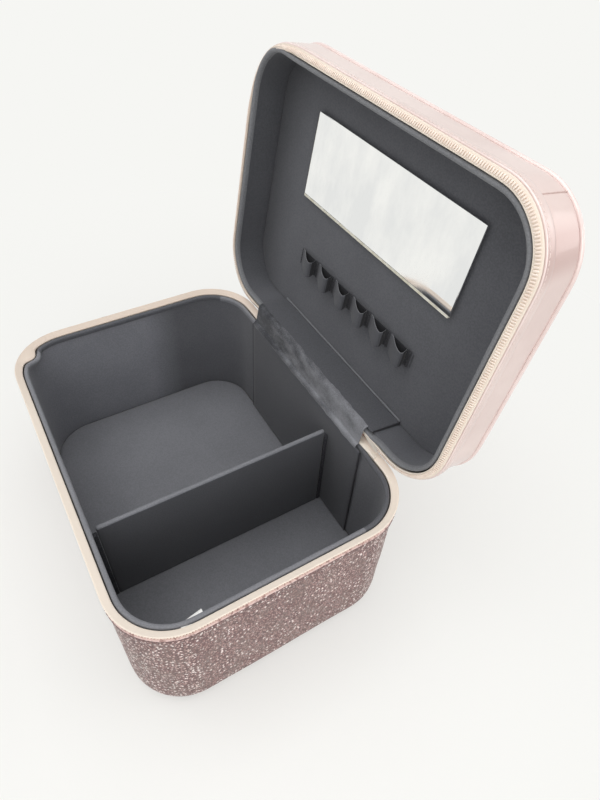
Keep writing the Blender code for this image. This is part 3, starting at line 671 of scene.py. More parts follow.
finishes = {
    "board": two_tone(
        "grey_board", 0.9, (Finish.noise, 1.5 * MM, 5), (0.3, (76, 72, 68)), (0.7, (92, 88, 84)), 0.1 * MM
    ),
    "glitter": glitter_cloth(),
    "fold": two_tone(
        "worn_rose_fold", 0.6, (Finish.noise, 2.2 * MM, 4), (0.36, (168, 134, 129)), (0.5, (228, 200, 194)),
        0.15 * MM, 0.6, (Finish.noise, 0.6 * MM, 3),
    ),
    "cover": rose_cover("rose_smooth_cover", (226, 205, 199), (230, 210, 204)),
    # The side band's darker patch is painted shade, standing for a dark reflection
    "side": rose_cover("rose_side_band_painted_shade", (220, 198, 192), (230, 210, 204), 0.8),
    # The edging, lighter than the cover, is a painted highlight on the lid's hem crest and piping
    "edging": rose_cover("rose_edging_painted_highlight", (236, 215, 210), (246, 228, 224)),
    "underside": two_tone(
        "smooth_underside", 0.5, (Finish.noise, 30 * MM, 3), (0.3, (206, 182, 174)), (0.7, (220, 197, 189)),
        0.12 * MM, 0.5, (Finish.grain, 0.8 * MM),
    ),
    # Painted light and shade: the base walls are lighter at the left, the lid's darker at the left and
    # lighter at the right
    "lining": slate_lining("slate_lining", (94, 95, 100), (104, 105, 110), 0.0, (1.75, 0.9, 1.0), 1.0),
    # Copies of the lining: the panels and plain lip are darker as painted shade, the floor and lips lighter
    # as painted light
    "panel": slate_lining("slate_panel_painted_shade", (72, 73, 78), (80, 81, 86)),
    "plain_lip": slate_lining("slate_lip_painted_shade", (82, 83, 88), (92, 93, 98)),
    "lid_panel": slate_lining("slate_lid_panel_painted_shade", (76, 77, 82), (86, 87, 92), OPEN_ANGLE),
    "floor": slate_lining("slate_floor_painted_light", (122, 123, 128), (132, 133, 138)),
    "lip": slate_lining("slate_lip_painted_light", (118, 119, 124), (130, 131, 136)),
    "lid_lining": slate_lining(
        "slate_lid_lining", (84, 85, 90), (94, 95, 100), OPEN_ANGLE, (0.72, 1.03, 1.3)
    ),
    "lid_lip": slate_lining("slate_lid_lip_painted_light", (112, 113, 117), (126, 127, 130), OPEN_ANGLE),
    "velvet": hinge_velvet(),
    "elastic": elastic("charcoal_elastic", (68, 69, 74), (88, 89, 94)),
    # Painted shadow on the sewn elastic, and painted shade inside the loops and in the panel seams
    "elastic_shadow_paint": elastic("sewn_elastic_painted_shadow", (42, 42, 46), (58, 58, 63)),
    "elastic_shade_paint": elastic("elastic_painted_shade", (26, 26, 30), (42, 42, 47)),
    "hook": two_tone(
        "charcoal_hook_pad", 0.9, (Finish.grain, 0.9 * MM), (0.1, (80, 80, 85)), (0.6, (50, 50, 55)),
        0.5 * MM, 0.8,
    ),
    "tape": zip_tape("champagne_zip_tape", *TAPE_TONES, BASE_TAPE_EDGES),
    "lid_tape": zip_tape("champagne_lid_tape", *TAPE_TONES, LID_TAPE_EDGES),
    "patch": zip_tape("tape_end_painted_light", CREAM_WITH_PAINTED_LIGHT, CREAM_WITH_PAINTED_LIGHT, BASE_TAPE_EDGES),
    "coil": two_tone(
        "champagne_zip_coil", 0.35, (Finish.noise, 6 * MM, 2), (0.35, (238, 220, 206)),
        (0.65, (249, 235, 223)), 0.03 * MM, 0.6, (Finish.noise, 0.4 * MM, 2),
        Coat_Weight=0.2, Coat_Roughness=0.3,
    ),
    "rose_thread": thread("rose_thread", (98, 74, 73), (150, 118, 114)),
    "pale_thread": thread("pale_rose_thread", (226, 205, 198), (242, 227, 220)),
    "seam": thread("rose_seam_thread", (188, 161, 154), (208, 183, 176)),
    "slate_thread": thread("slate_thread", (30, 31, 35), (50, 51, 56)),
    "tag": two_tone(
        "white_blank_tag", 0.5, (Finish.waves, 0.35 * MM, "Y"), (0.2, (238, 238, 236)),
        (0.8, (250, 250, 248)), 0.04 * MM, 0.6, Sheen_Weight=0.2,
    ),
    "mirror": mirror_silver(),
    "backing": two_tone(
        "cream_mirror_backing", 0.6, (Finish.noise, 4 * MM, 3), (0.35, (226, 220, 198)),
        (0.6, (246, 243, 230)), 0.1 * MM, 0.4,
    ),
    "metal": two_tone(
        "rose_metal", 0.24, (Finish.noise, 2.5 * MM, 4), (0.35, (222, 180, 164)), (0.65, (240, 206, 192)),
        0.03 * MM, 0.4, wear=((0.3, 0.18), (0.7, 0.36)), Metallic=1.0,
    ),
}


# Sections of the two shells, as pairs of millimetres: out from the rim line, and deep from the lip

GLITTER_BODY = [(1.6, 8.4), (3.3, 8.4)] + [(3.5, 10 + 11.3 * step) for step in range(8)]
for angle in range(15, 91, 15):
    bend = math.radians(angle)
    GLITTER_BODY.append((-7.4 + 10.9 * math.cos(bend), 89 + 11 * math.sin(bend)))
GLITTER_BODY += [(-11, 100), (-15.2, 100), (-15.4, 98), (-7.4, 98), (0.2, 95.5), (1.6, 90.5)]

LID_HEM = [
    (2.3, 10.6), (2.7, 9.2), (2.9, 5.6), (2.9, 3.6), (3.4, 3.1), (4.3, 2.9), (5.0, 3.05),
    (5.3, 3.7), (5.05, 4.6), (5.15, 5.5), (5.2, 7.4), (4.9, 8.8), (4.2, 9.6), (3.55, 10.4),
]

BASE_HEM = [
    (2.3, 10.6), (2.6, 9.2), (2.75, 5.2), (2.75, 3.2), (3.1, 2.7), (3.7, 2.5), (4.25, 2.75),
    (4.5, 3.4), (4.3, 4.2), (4.42, 5.4), (4.45, 7.4), (4.2, 8.8), (3.8, 9.6), (3.4, 10.4),
]

BASE_LINING = [
    (-2.6, 96.2), (-2.6, 70), (-2.6, 40), (-2.6, 12), (-2.6, 5.0), (-3.0, 3.7), (-3.4, 2.4),
    (-3.4, 1.1), (-3.0, 0.3), (-2.1, 0.0), (-1.2, 0.05), (-0.6, 0.5), (-0.4, 1.4), (-0.45, 2.8),
    (-0.9, 3.8), (-1.4, 4.4), (-1.4, 12), (-1.4, 40), (-1.4, 70), (-1.4, 96.2),
]

LID_LINING = [
    (-2.6, 25.0), (-2.6, 16), (-2.6, 9), (-2.6, 5.0), (-2.95, 3.7), (-3.3, 2.4),
    (-3.2, 1.0), (-2.5, 0.25), (-1.4, 0.1), (-0.6, 0.7), (-0.35, 1.6), (-0.4, 2.8),
    (-0.9, 3.8), (-1.4, 4.4), (-1.4, 9), (-1.4, 16), (-1.4, 25.0),
]

BASE_TAPE = [
    (1.6, 8.4), (1.6, 3.2), (1.1, 2.0), (0.35, 1.2), (0.1, 0.5), (0.5, 0.0), (1.5, -0.5), (2.8, -1.1),
    (4.0, -1.75), (4.6, -1.95), (4.85, -1.6), (4.5, -1.1), (3.4, -0.3), (2.9, 1.2), (2.5, 3.2), (2.4, 8.4),
]

LID_TAPE = [
    (1.6, 8.4), (1.6, 3.0), (0.8, 1.7), (0.35, 1.0), (0.3, 0.3), (0.7, -0.05), (1.2, 0.2),
    (2.6, 1.0), (3.7, 1.6), (4.4, 1.9), (4.6, 2.3), (4.0, 2.5), (2.7, 2.6), (2.4, 3.4), (2.4, 8.4),
]

LID_SIDE = [(1.6, 8.4), (3.3, 8.4)] + [(3.55, 10.5 + 4 * step) for step in range(5)] + [(3.3, 27), (1.6, 27)]

PIPING_CENTRE = Vector((3.2, 28.1))
PIPING_RADIUS = 1.35
PIPING = []
for angle in range(0, 360, 36):
    bend = math.radians(angle)
    PIPING.append(PIPING_CENTRE + PIPING_RADIUS * Vector((math.cos(bend), math.sin(bend))))

# How deep the second tones of the hem's crest and of the rolled lip reach; the lip's lighter tone is painted
# light
HEM_CREST = 3.4 * MM
LIP_ROLL = 3.6 * MM

# The base's lip is painted darker, as shade, left of the first place, and right of the second beside the
# hinge cloth
PLAIN_LIP_LEFT = -110 * MM
PLAIN_LIP_RIGHT = 64 * MM

# Dents at the front left corner and beside the hinge cloth: the spot, how far it reaches, and the move
BASE_CORNER = Vector((-105 * MM, -72 * MM, BASE_LIP))
LID_CORNER = Vector((-103 * MM, -84.5 * MM, LID_LIP + 2 * MM))
BASE_LIP_DENT = (BASE_CORNER, 10 * MM, mm(3.2, 3.6, -0.5))
BASE_TAPE_DENT = (BASE_CORNER, 9 * MM, mm(3.0, 3.4, -0.3))
BASE_HINGE_DENT = (Vector((HINGE_CLOTH_RIGHT, REAR, BASE_LIP - MM)), 15 * MM, mm(0, 1.6, 0))
LID_LIP_DENT = (LID_CORNER, 30 * MM, mm(-0.4, -1.0, -0.6))
LID_RIM_DENT = (LID_CORNER, 34 * MM, mm(1.0, 2.2, 0))
LID_RIM_SUNK = (Vector((-119 * MM, -66 * MM, LID_LIP)), 30 * MM, mm(0, 0, 2.0))
LID_HINGE_DENT = (Vector((HINGE_CLOTH_RIGHT, REAR, LID_LIP + MM)), 15 * MM, mm(0, 2.6, 0))

# What a dent leaves as it is: the tape's outer edge, the lid's inner rim, and the lining below its lip
HELD_TAPE = 3.2 * MM
HELD_RIM = 0.9 * MM
HELD_LINING = 4.2 * MM


def rim_distance(point):
    """How far out from the rim line a point at the front left corner lies."""
    arm = Vector((min(point.co.x + CORNER_X, 0), min(point.co.y + CORNER_Y, 0)))
    return arm.length - RIM_CORNER


def draw_in(piece, shell):
    """The lid's rim is drawn in round its front left corner, and sinks back beside it."""
    if shell is LID:
        press(piece, *LID_RIM_SUNK)
        press(piece, *LID_RIM_DENT, lambda point: rim_distance(point) < HELD_RIM)


def glitter_body():
    made = BASE.carry("base_glitter_body", GLITTER_BODY)
    ruffle(made, 0.5 * MM, 34 * MM)
    open_mesh(made)
    pick("VERT", lambda point: point.co.z < 0.1 * MM)
    bpy.ops.transform.resize(value=(1, 1, 0), center_override=(0, 0, 0))
    leave_mesh()
    finish_off(made, "base", "rose_glitter_cloth", "glitter", "base_glitter_cover")


def hem(shell, section, slot, finish, crest):
    """The folded edge of the outer cloth, whose crest shows a second tone: a worn fold on the base, a painted
    highlight on the lid.
    """
    made = shell.carry(shell.name + "_hem_fold", section)
    ruffle(made, 0.3 * MM, 12 * MM)
    draw_in(made, shell)
    finish_off(
        made, shell.name, slot, finish, second=[(crest, lambda face: shell.depth(face) < HEM_CREST)]
    )


STITCH_PITCH = 3.0 * MM
STITCH_LENGTH = 2.3 * MM
STITCH_THICKNESS = 0.45 * MM


def stitch_row(shell, out, deep, slot, finish):
    """A row of topstitches round the rim, each one bent at both ends into the cloth."""
    made = begin(
        shell.name + "_hem_stitches", bpy.ops.mesh.primitive_cylinder_add, vertices=6,
        radius=STITCH_THICKNESS / 2, depth=STITCH_LENGTH * 0.7, rotation=(0, math.pi / 2, 0),
    )
    open_mesh(made)
    for side in (-1, 1):
        pick("FACE", lambda face: face.normal.x * side > 0.9)
        extrude((side * STITCH_LENGTH * 0.15, -STITCH_THICKNESS * 0.8, 0))
        bpy.ops.transform.resize(value=(1, 0.6, 0.6), center_override=(side * STITCH_LENGTH / 2, 0, 0))
    leave_mesh()
    shell.repeat(made, out, deep, STITCH_PITCH)
    smooth(made, 80)
    draw_in(made, shell)
    finish_off(made, shell.name, slot, finish, angle=0)


def has_plain_lip(face):
    """Whether a face of the base's lip is painted darker, as shade."""
    place = middle(face)
    beside_hinge = place.y > CORNER_Y and place.x > PLAIN_LIP_RIGHT
    return BASE.depth(face) < LIP_ROLL and (place.x < PLAIN_LIP_LEFT or beside_hinge)


def base_lining():
    made = BASE.carry("base_wall_cloth", BASE_LINING)
    ruffle(made, 0.3 * MM, 16 * MM)
    press(made, *BASE_LIP_DENT)
    press(made, *BASE_HINGE_DENT)
    # The rolled lip is painted lighter as light, and darker as shade on its left run and beside the hinge
    # cloth
    finish_off(
        made, "base", "slate_lining", "lining", "base_wall_lining",
        second=[("lip", lambda face: BASE.depth(face) < LIP_ROLL), ("plain_lip", has_plain_lip)],
    )


def lid_lining():
    made = LID.carry("lid_wall_cloth", LID_LINING)
    ruffle(made, 0.3 * MM, 16 * MM)
    press(made, *LID_HINGE_DENT, lambda point: point.co.z > LID_LIP + HELD_LINING)
    press(made, *LID_LIP_DENT)
    # The rolled lip is painted lighter, as light
    finish_off(
        made, "lid", "slate_lining", "lid_lining", "lid_wall_lining",
        second=[("lid_lip", lambda face: LID.depth(face) < LIP_ROLL)],
    )


def zip_half(shell, section, finish):
    made = shell.carry(shell.name + "_zip_band", section, TAPE_END)
    lay_along_rim(made)
    ruffle(made, 0.15 * MM, 10 * MM)
    draw_in(made, shell)
    if shell is BASE:
        press(made, *BASE_TAPE_DENT, lambda point: rim_distance(point) > HELD_TAPE)
    finish_off(made, shell.name, "champagne_zip_tape", finish, shell.name + "_zip_tape")


RIB_PITCH = 1.5 * MM
RIB_WIDTH = 0.95 * MM
RIB_THICKNESS = 0.8 * MM


def coil(shell, out, deep, slope, length):
    """The coil, loop by loop: one rounded loop, repeated along the rim."""
    made = box(shell.name + "_zip_loops", (0, 0, 0), (RIB_WIDTH, length, RIB_THICKNESS))
    open_mesh(made)
    pick_all()
    bpy.ops.mesh.bevel(offset=RIB_THICKNESS * 0.32, segments=1, affect="EDGES")
    pick_all()
    shift((RIB_PITCH / 2, 0, 0))
    bpy.ops.transform.rotate(value=-math.radians(slope), orient_axis="X", center_override=(0, 0, 0))
    leave_mesh()
    shell.repeat(made, out, deep, RIB_PITCH, COIL_END)
    smooth(made, 80)
    draw_in(made, shell)
    finish_off(made, shell.name, "champagne_zip_coil", "coil", shell.name + "_zip_coil", angle=0)


def piping():
    """Piping round the lid's top edge: a round cord in its cover, painted lighter as a highlight."""
    made = LID.carry("lid_piping_cord", PIPING)
    ruffle(made, 0.2 * MM, 9 * MM)
    finish_off(made, "lid", "rose_smooth_cover", "edging", "lid_piping", angle=80)


def lid_side():
    made = LID.carry("lid_side_band", LID_SIDE)
    ruffle(made, 0.4 * MM, 26 * MM)
    finish_off(made, "lid", "rose_smooth_cover", "side", "lid_side_cover")


# The side band's seam: how far round the front right corner, how far out, and its two ends in the lid
SEAM_ROUND = math.radians(23.2)
SEAM_REACH = RIM_CORNER + 3.6 * MM
SEAM_LOW = LID.height(9.6 * MM)
SEAM_HIGH = LID.height(27.2 * MM)


def side_seam():
    """The upright seam where the two ends of the side band meet, at the front right corner."""
    made = begin(
        "lid_side_seam", bpy.ops.mesh.primitive_cylinder_add, vertices=8, radius=0.25 * MM,
        depth=SEAM_HIGH - SEAM_LOW,
        location=(
            CORNER_X + SEAM_REACH * math.sin(SEAM_ROUND),
            -CORNER_Y - SEAM_REACH * math.cos(SEAM_ROUND),
            (SEAM_LOW + SEAM_HIGH) / 2,
        ),
    )
    open_mesh(made)
    pick_edges_along(2)
    bpy.ops.mesh.subdivide(number_cuts=18)
    leave_mesh()
    ruffle(made, 0.3 * MM, 1.6 * MM)
    finish_off(made, "lid", "rose_smooth_cover", "seam")


def soft_board(name, low, high, cuts, edge=0.5 * MM):
    """A cloth-covered board between two corners: subdivided, with its edges rounded."""
    low = Vector(low)
    high = Vector(high)
    made = box(name, (low + high) / 2, high - low)
    open_mesh(made)
    for axis, count in enumerate(cuts):
        if count:
            pick_edges_along(axis)
            bpy.ops.mesh.subdivide(number_cuts=count)
    leave_mesh()
    soften_edges(made, edge, 60)
    return made


def rounded_plate(name, out, low, high, rings):
    """A plate in the rim's outline, some distance out, its far face raised in rings of millimetres."""
    made = box(name, (0, 0, (low + high) / 2), (RIM_LENGTH + 2 * out, RIM_WIDTH + 2 * out, high - low))
    open_mesh(made)
    pick_edges_along(2)
    bpy.ops.mesh.bevel(offset=RIM_CORNER + out, segments=2 * CORNER_STEPS, affect="EDGES")
    side = 1 if high > low else -1
    pick("FACE", lambda face: face.normal.z * side > 0.9)
    for width, rise in rings:
        inset(width * MM, mm(0, 0, rise))
    pick_all()
    bpy.ops.mesh.normals_make_consistent(inside=False)
    leave_mesh()
    return made


def floor_cloth():
    made = rounded_plate(
        "base_floor_cloth", -2.5 * MM, FLOOR - 1.2 * MM, FLOOR - 0.6 * MM, [(0.5, 0.4), (2, 0.2), (8, 0.1)]
    )
    # The floor's copy of the lining is painted lighter, as light
    finish_off(made, "base", "slate_lining", "floor", "base_floor_lining")


def lid_board_cloth():
    made = rounded_plate(
        "lid_board_cloth", -2.5 * MM, LID.height(LID_BOARD + 1.2 * MM), LID.height(LID_BOARD + 0.3 * MM),
        [(0.5, -0.3), (3, -0.05)],
    )
    finish_off(made, "lid", "slate_lining", "lid_lining", "lid_board_lining")


def lid_top():
    """The top cover: a rounded panel that sinks into the piping's seam and swells a little in the middle."""
    made = rounded_plate(
        "lid_top_panel", 1.7 * MM, LID.height(LID_TOP - 1.2 * MM), LID.height(LID_TOP - 0.9 * MM),
        [(1.2, 0.5), (3, 0.4), (10, 0.3), (14, 0.1)],
    )
    finish_off(made, "lid", "rose_smooth_cover", "cover", "lid_top_cover")


def rear_panel(shell, deep_end, finish):
    lip_end, far_end = sorted((shell.height(PANEL_START), shell.height(deep_end)))
    made = soft_board(
        shell.name + "_rear_panel_cloth", (-PANEL_END, PANEL_FACE, lip_end),
        (PANEL_END, PANEL_FACE + PANEL_THICKNESS, far_end), (28, 0, 14), 0.55 * MM,
    )
    ruffle(made, 0.3 * MM, 22 * MM)
    # The panel's copy of the lining is painted darker, as shade
    finish_off(made, shell.name, "slate_lining", finish, shell.name + "_rear_panel", angle=50)


def panel_roll():
    """The turned edge of the lid board's cloth, beside the rear panel, painted lighter as a highlight."""
    board = LID.height(LID_BOARD)
    made = soft_board(
        "lid_board_turned_edge", (-PANEL_END, PANEL_FACE - 1.5 * MM, board - 0.7 * MM),
        (PANEL_END, PANEL_FACE - 0.1 * MM, board), (40, 0, 0), 0.35 * MM,
    )
    ruffle(made, 0.15 * MM, 6 * MM)
    finish_off(made, "lid", "slate_lining", "lip", angle=70)


def panel_seam(shell, far_end, side, word):
    """The seam at one end of a rear panel, near-black as painted shade in its crease."""
    x = side * (PANEL_END + 0.35 * MM)
    low, high = sorted((shell.height(2.2 * MM), shell.height(far_end)))
    made = soft_board(
        shell.name + "_panel_seam_" + word, (x - 0.4 * MM, PANEL_FACE + 0.1 * MM, low),
        (x + 0.4 * MM, PANEL_FACE + 1.1 * MM, high), (0, 0, 24), 0.25 * MM,
    )
    ruffle(made, 0.2 * MM, 5 * MM)
    finish_off(made, shell.name, "slate_lining", "elastic_shade_paint")


def hinge_strip(name, path, ends, step, thickness, swell, finish, turning, node):
    """A strip of cloth across the hinge, soft where it bends, along a path of (y, z)."""
    left, right = ends
    made = draw_line(name, [(left, y, z) for y, z in path], closed=False)
    push((1, 0, 0), right - left, step)
    close_up()
    round_off(made)
    thicken(made, thickness)
    ruffle(made, *swell)
    smooth(made, 70)
    made.data.materials.append(finishes[finish])
    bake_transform(made)
    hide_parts(node)


HINGE_CLOTH = [(-3.5, 3.2), (-4.0, 1.9), (-3.75, 0.3), (-2.6, -0.75), (-1.9, -0.75), (-1.2, -1.3)]


def hinge_cloth():
    """The velvet strip over both lips."""
    path = [(REAR + out * MM, BASE.height(deep * MM)) for out, deep in HINGE_CLOTH]
    path += [opened(out, deep) for out, deep in reversed(HINGE_CLOTH)]
    hinge_strip(
        "hinge_cloth", path, (-HINGE_CLOTH_LEFT, HINGE_CLOTH_RIGHT), 2.5 * MM, 0.6 * MM,
        (0.5 * MM, 7 * MM, 3), "velvet", ((REAR, BASE.height(0)), opened(0, 0)),
        "hinge_lining_strip",
    )


# The hinge cover's way, in millimetres: how far out it lies, its depths on the base and the lid, and its bend
COVER_OUT = 5.6
COVER_ON_BASE = (9.0, 6.5, 3.5, 1.0)
COVER_ON_LID = (5.5, 7.5, 9.0)
COVER_BEND = (6.2, -1.2)


def hinge_cover():
    """The smooth strip outside the hinge, sewn to both hems."""
    outside = [(COVER_OUT, deep) for deep in COVER_ON_BASE] + [COVER_BEND]
    path = [(REAR + out * MM, BASE.height(deep * MM)) for out, deep in outside]
    path += [opened(COVER_OUT, deep) for deep in COVER_ON_LID]
    hinge_strip(
        "hinge_cover_cloth", path, (-HINGE_COVER_END, HINGE_COVER_END), 3 * MM, 0.9 * MM, (0.4 * MM, 9 * MM),
        "cover", ((REAR, BASE.height(1 * MM)), opened(COVER_OUT, 6.5)),
        "hinge_cover_strip",
    )


# A tape end: its seam's place and size, then each stretch on from it, as reach, narrowing and inward move
TAPE_SEAM = 79.2 * MM
TAPE_END_SIZE = mm(3.6, 4.8, 1.2)
TAPE_END_RUN = ((4.0, 0.92, 0.5), (4.0, 0.86, 0.7), (4.4, 0.7, 0.6))


def tape_end(shell, name, out, deep, *nodes):
    """A folded end of the tape beside the hinge: full width at its seam, running out to a point."""
    middle_y = REAR + out
    made = box(name, (TAPE_SEAM, middle_y, shell.height(deep)), TAPE_END_SIZE)
    open_mesh(made)
    pick("FACE", lambda face: face.normal.x < -0.9)
    for reach, narrow, inwards in TAPE_END_RUN:
        middle_y -= inwards * MM
        extrude(mm(-reach, -inwards, 0))
        bpy.ops.transform.resize(value=(1, narrow, 1), center_override=(0, middle_y, 0))
    leave_mesh()
    soften_edges(made, 0.25 * MM, 50)
    round_off(made)
    lay_along_rim(made)
    # The tape end is painted lighter than the tape, as light
    finish_off(made, shell.name, "champagne_zip_tape", "patch", *nodes)


# The blank tag: its way from behind the lip, out from the wall and deep, and how far askew it is sewn
TAG = [(0.7, 1.9), (0.0, 1.6), (-1.2, 1.3), (-2.4, 1.4), (-2.9, 2.3), (-2.8, 4.0), (-2.5, 7.0), (-2.3, 9.0)]
TAG_WALL = RIM_LENGTH / 2 - 2.6 * MM
TAG_FRONT = -59 * MM
TAG_WIDTH = 12.5 * MM
TAG_COLUMNS = 5
TAG_ASKEW = 2.1 * MM


def tag():
    """The blank tag: a soft folded ribbon that peeps out from under the lip, sewn in askew."""
    path = [(TAG_WALL + out * MM, TAG_FRONT, BASE.height(deep * MM)) for out, deep in TAG]
    made = draw_line("blank_satin_tag", path, closed=False)
    push((0, 1, 0), TAG_WIDTH, TAG_WIDTH / TAG_COLUMNS)
    for column in range(TAG_COLUMNS):
        share = column / TAG_COLUMNS
        column_y = TAG_FRONT + TAG_WIDTH * share
        pick("VERT", lambda point: abs(point.co.y - column_y) < SAME_SPOT)
        shift((TAG_ASKEW * (1 - share), 0, 0))
    close_up()
    round_off(made)
    thicken(made, 0.6 * MM)
    finish_off(made, "base", "white_blank_tag", "tag", "blank_tag")


# The mirror and its backing, which shows below and left of the glass and stays hidden on its other sides
MIRROR_CENTRE = mm(2, -29.5)
MIRROR_HALF = mm(74, 27)
MIRROR_FACE = LID.height(LID_BOARD - 2.5 * MM)
GLASS_THICKNESS = 1.2 * MM
BACKING_BELOW = 1.9 * MM
BACKING_LEFT = 0.6 * MM
BACKING_HIDDEN = 1.2 * MM


def mirror():
    """Mirror glass with a small bevel, on a backing that shows along two of its edges."""
    left, front = MIRROR_CENTRE - MIRROR_HALF
    right, rear = MIRROR_CENTRE + MIRROR_HALF
    glass = soft_board(
        "mirror_plate", (left + BACKING_LEFT, front, MIRROR_FACE),
        (right, rear - BACKING_BELOW, MIRROR_FACE + GLASS_THICKNESS), (0, 0, 0), 0.35 * MM,
    )
    finish_off(glass, "lid", "mirror_glass", "mirror", "mirror_glass", angle=20)
    backing = soft_board(
        "mirror_back_board", (left, front + BACKING_HIDDEN, MIRROR_FACE + 0.35 * MM),
        (right - BACKING_HIDDEN, rear, LID.height(LID_BOARD + 0.1 * MM)), (0, 0, 0), 0.3 * MM,
    )
    finish_off(backing, "lid", "cream_mirror_backing", "backing", "mirror_backing", angle=30)


LOOP_COUNT = 6
LOOP_PITCH = 20.4 * MM
FIRST_LOOP = -60.3 * MM
BAND_LOW = 31.75 * MM
BAND_WIDTH = 11.5 * MM
BAND_SEWN = 0.6 * MM
BAND_BOARD = LID_BOARD - 0.1 * MM

# One loop of the elastic, in millimetres from its left foot: along the band, and up from the board
LOOP = [
    (0, 0.6), (2.6, 1.7), (5.5, 3.6), (8.0, 5.0), (10.4, 6.3), (13.2, 7.4), (15.6, 8.1), (17.0, 7.7),
    (17.1, 6.0), (16.4, 3.6), (15.3, 1.6), (14.5, 0.6),
]
LOOP_FOOT = LOOP[-1][0] * MM
LOOP_STARTS = [FIRST_LOOP + loop * LOOP_PITCH for loop in range(LOOP_COUNT)]

# Stitches that hold the band down
BAR_STITCHES = 6
BAR_RADIUS = 0.32 * MM
BAR_LENGTH = 1.6 * MM


def is_sewn_down(face):
    """Whether a face of the elastic lies in the stitched part beside a loop's right foot, painted dark as the
    loop's shadow.
    """
    place = middle(face)
    past_foot = (place.x - FIRST_LOOP) % LOOP_PITCH - LOOP_FOOT
    return place.z > LID.height(BAND_BOARD - 1.3 * MM) and -0.5 * MM < past_foot < 4.4 * MM


def brush_loops():
    """Elastic sewn down between its loops; each loop rises in a long slant and leans over to the right."""
    path = [(FIRST_LOOP - 2.7 * MM, BAND_SEWN)]
    for start in LOOP_STARTS:
        path += [(start + along * MM, up * MM) for along, up in LOOP]
    end = path[-1][0] + 6.0 * MM
    path.append((end, BAND_SEWN))
    points = [(x, BAND_LOW, LID.height(BAND_BOARD - off)) for x, off in path]
    made = draw_line("brush_loops", points, closed=False)
    push((0, 1, 0), BAND_WIDTH, 1.5 * MM)
    close_up()
    thicken(made, 0.9 * MM)
    round_off(made)
    ruffle(made, 0.2 * MM, 5 * MM)
    # The loops' rims are painted lighter as a highlight, their sewn parts dark as shadow, and their faces
    # towards the board dark as shade
    finish_off(
        made, "lid", "charcoal_elastic", "elastic", "brush_loop_band",
        second=[
            ("lid_lip", lambda face: face.normal.y < -0.7),
            ("elastic_shadow_paint", is_sewn_down),
            ("elastic_shade_paint", lambda face: face.normal.z > 0.05),
        ],
    )
    # A near-black sheet under the loops: painted shade seen through their openings
    under = soft_board(
        "brush_loop_underlay", (FIRST_LOOP, BAND_LOW + 1.2 * MM, LID.height(BAND_BOARD - 0.35 * MM)),
        (end - 1 * MM, BAND_LOW + BAND_WIDTH - 0.3 * MM, LID.height(BAND_BOARD)), (40, 4, 0), 0.15 * MM,
    )
    finish_off(under, "lid", "charcoal_elastic", "elastic_shade_paint")


def loop_stitches():
    """Bar stitches that hold the elastic down at each foot of its loops and at its start."""
    places = [FIRST_LOOP - 1.4 * MM]
    for start in LOOP_STARTS:
        places += [start + LOOP_FOOT + 1.2 * MM, start + LOOP_FOOT + 3.6 * MM]
    bars = []
    for x in places:
        for step in range(BAR_STITCHES):
            y = BAND_LOW + BAND_WIDTH * (step + 0.5) / BAR_STITCHES
            bar = begin(
                "stitch", bpy.ops.mesh.primitive_cylinder_add, vertices=6, radius=BAR_RADIUS,
                depth=BAR_LENGTH, location=(x, y, LID.height(LID_BOARD - 1.2 * MM)),
                rotation=(math.pi / 2, 0, 0),
            )
            bars.append(bar)
    made = merge_into("brush_loop_stitches", bars)
    finish_off(made, "lid", "charcoal_elastic", "slate_thread")


DIVIDER_LOW = (35.7 * MM, -77.8 * MM, FLOOR + 0.5 * MM)
DIVIDER_HIGH = (38.6 * MM, 76.8 * MM, 87.5 * MM)
DIVIDER_EDGE = DIVIDER_HIGH[2] - 0.9 * MM
PAD_TOP = 81.2 * MM
PADS = (("front", -80.6 * MM, -78.0 * MM), ("rear", 77.0 * MM, 79.6 * MM))


def divider():
    """The lift-out board, its cloth drawn over a rounded top edge, with a hook pad on each end; the cloth is
    painted darker as shade, its top edge lighter as a highlight.
    """
    made = soft_board("divider_cloth", DIVIDER_LOW, DIVIDER_HIGH, (0, 40, 20), 1.2 * MM)
    ruffle(made, 0.35 * MM, 24 * MM)
    finish_off(
        made, "divider", "slate_lining", "panel", "divider_board",
        second=[("lip", lambda face: middle(face).z > DIVIDER_EDGE)],
    )
    for end, low, high in PADS:
        pad = soft_board(
            "divider_" + end + "_pad", (DIVIDER_LOW[0], low, DIVIDER_LOW[2]),
            (DIVIDER_HIGH[0], high, PAD_TOP), (2, 2, 30), 0.4 * MM,
        )
        ruffle(pad, 0.3 * MM, 2 * MM)
        finish_off(pad, "divider", "black_hook_pad", "hook", "divider_" + end + "_hook_pad")


# A slider: its middle; its plates' places and thicknesses, length, height and corners; and its neck
SLIDER_MIDDLE = (64.5 * MM, 89.9 * MM, 100.4 * MM)
SLIDER_PLATES = ((-0.45 * MM, 0.7 * MM), (1.4 * MM, 1.2 * MM))
PLATE_LENGTH = 10.8 * MM
PLATE_HEIGHT = 5.1 * MM
PLATE_CORNER = 1.7 * MM
NECK_OUT = 0.4 * MM
NECK_SIZE = mm(3.2, 1.8, 3.6)

# The bridge over a slider: where its wire starts and ends outwards, its half length, radius and bend
BRIDGE_FOOT = SLIDER_MIDDLE[1] + 1.2 * MM
BRIDGE_Y = 94.3 * MM
BRIDGE_HALF = 3.0 * MM
BRIDGE_RADIUS = 0.75 * MM
BRIDGE_BEND = 1.2 * MM
BRIDGE_STEPS = 5

# A pull: the tab's middle below the slider's, its size and corners, and the ring that it hangs from
TAB_BELOW = 14.9 * MM
TAB_SIZE = mm(6.3, 1.3, 26.6)
TAB_CORNER = 2.2 * MM
RING_RADIUS = 1.52 * MM
RING_WIRE = 0.42 * MM
RING_STRETCH = 3.4


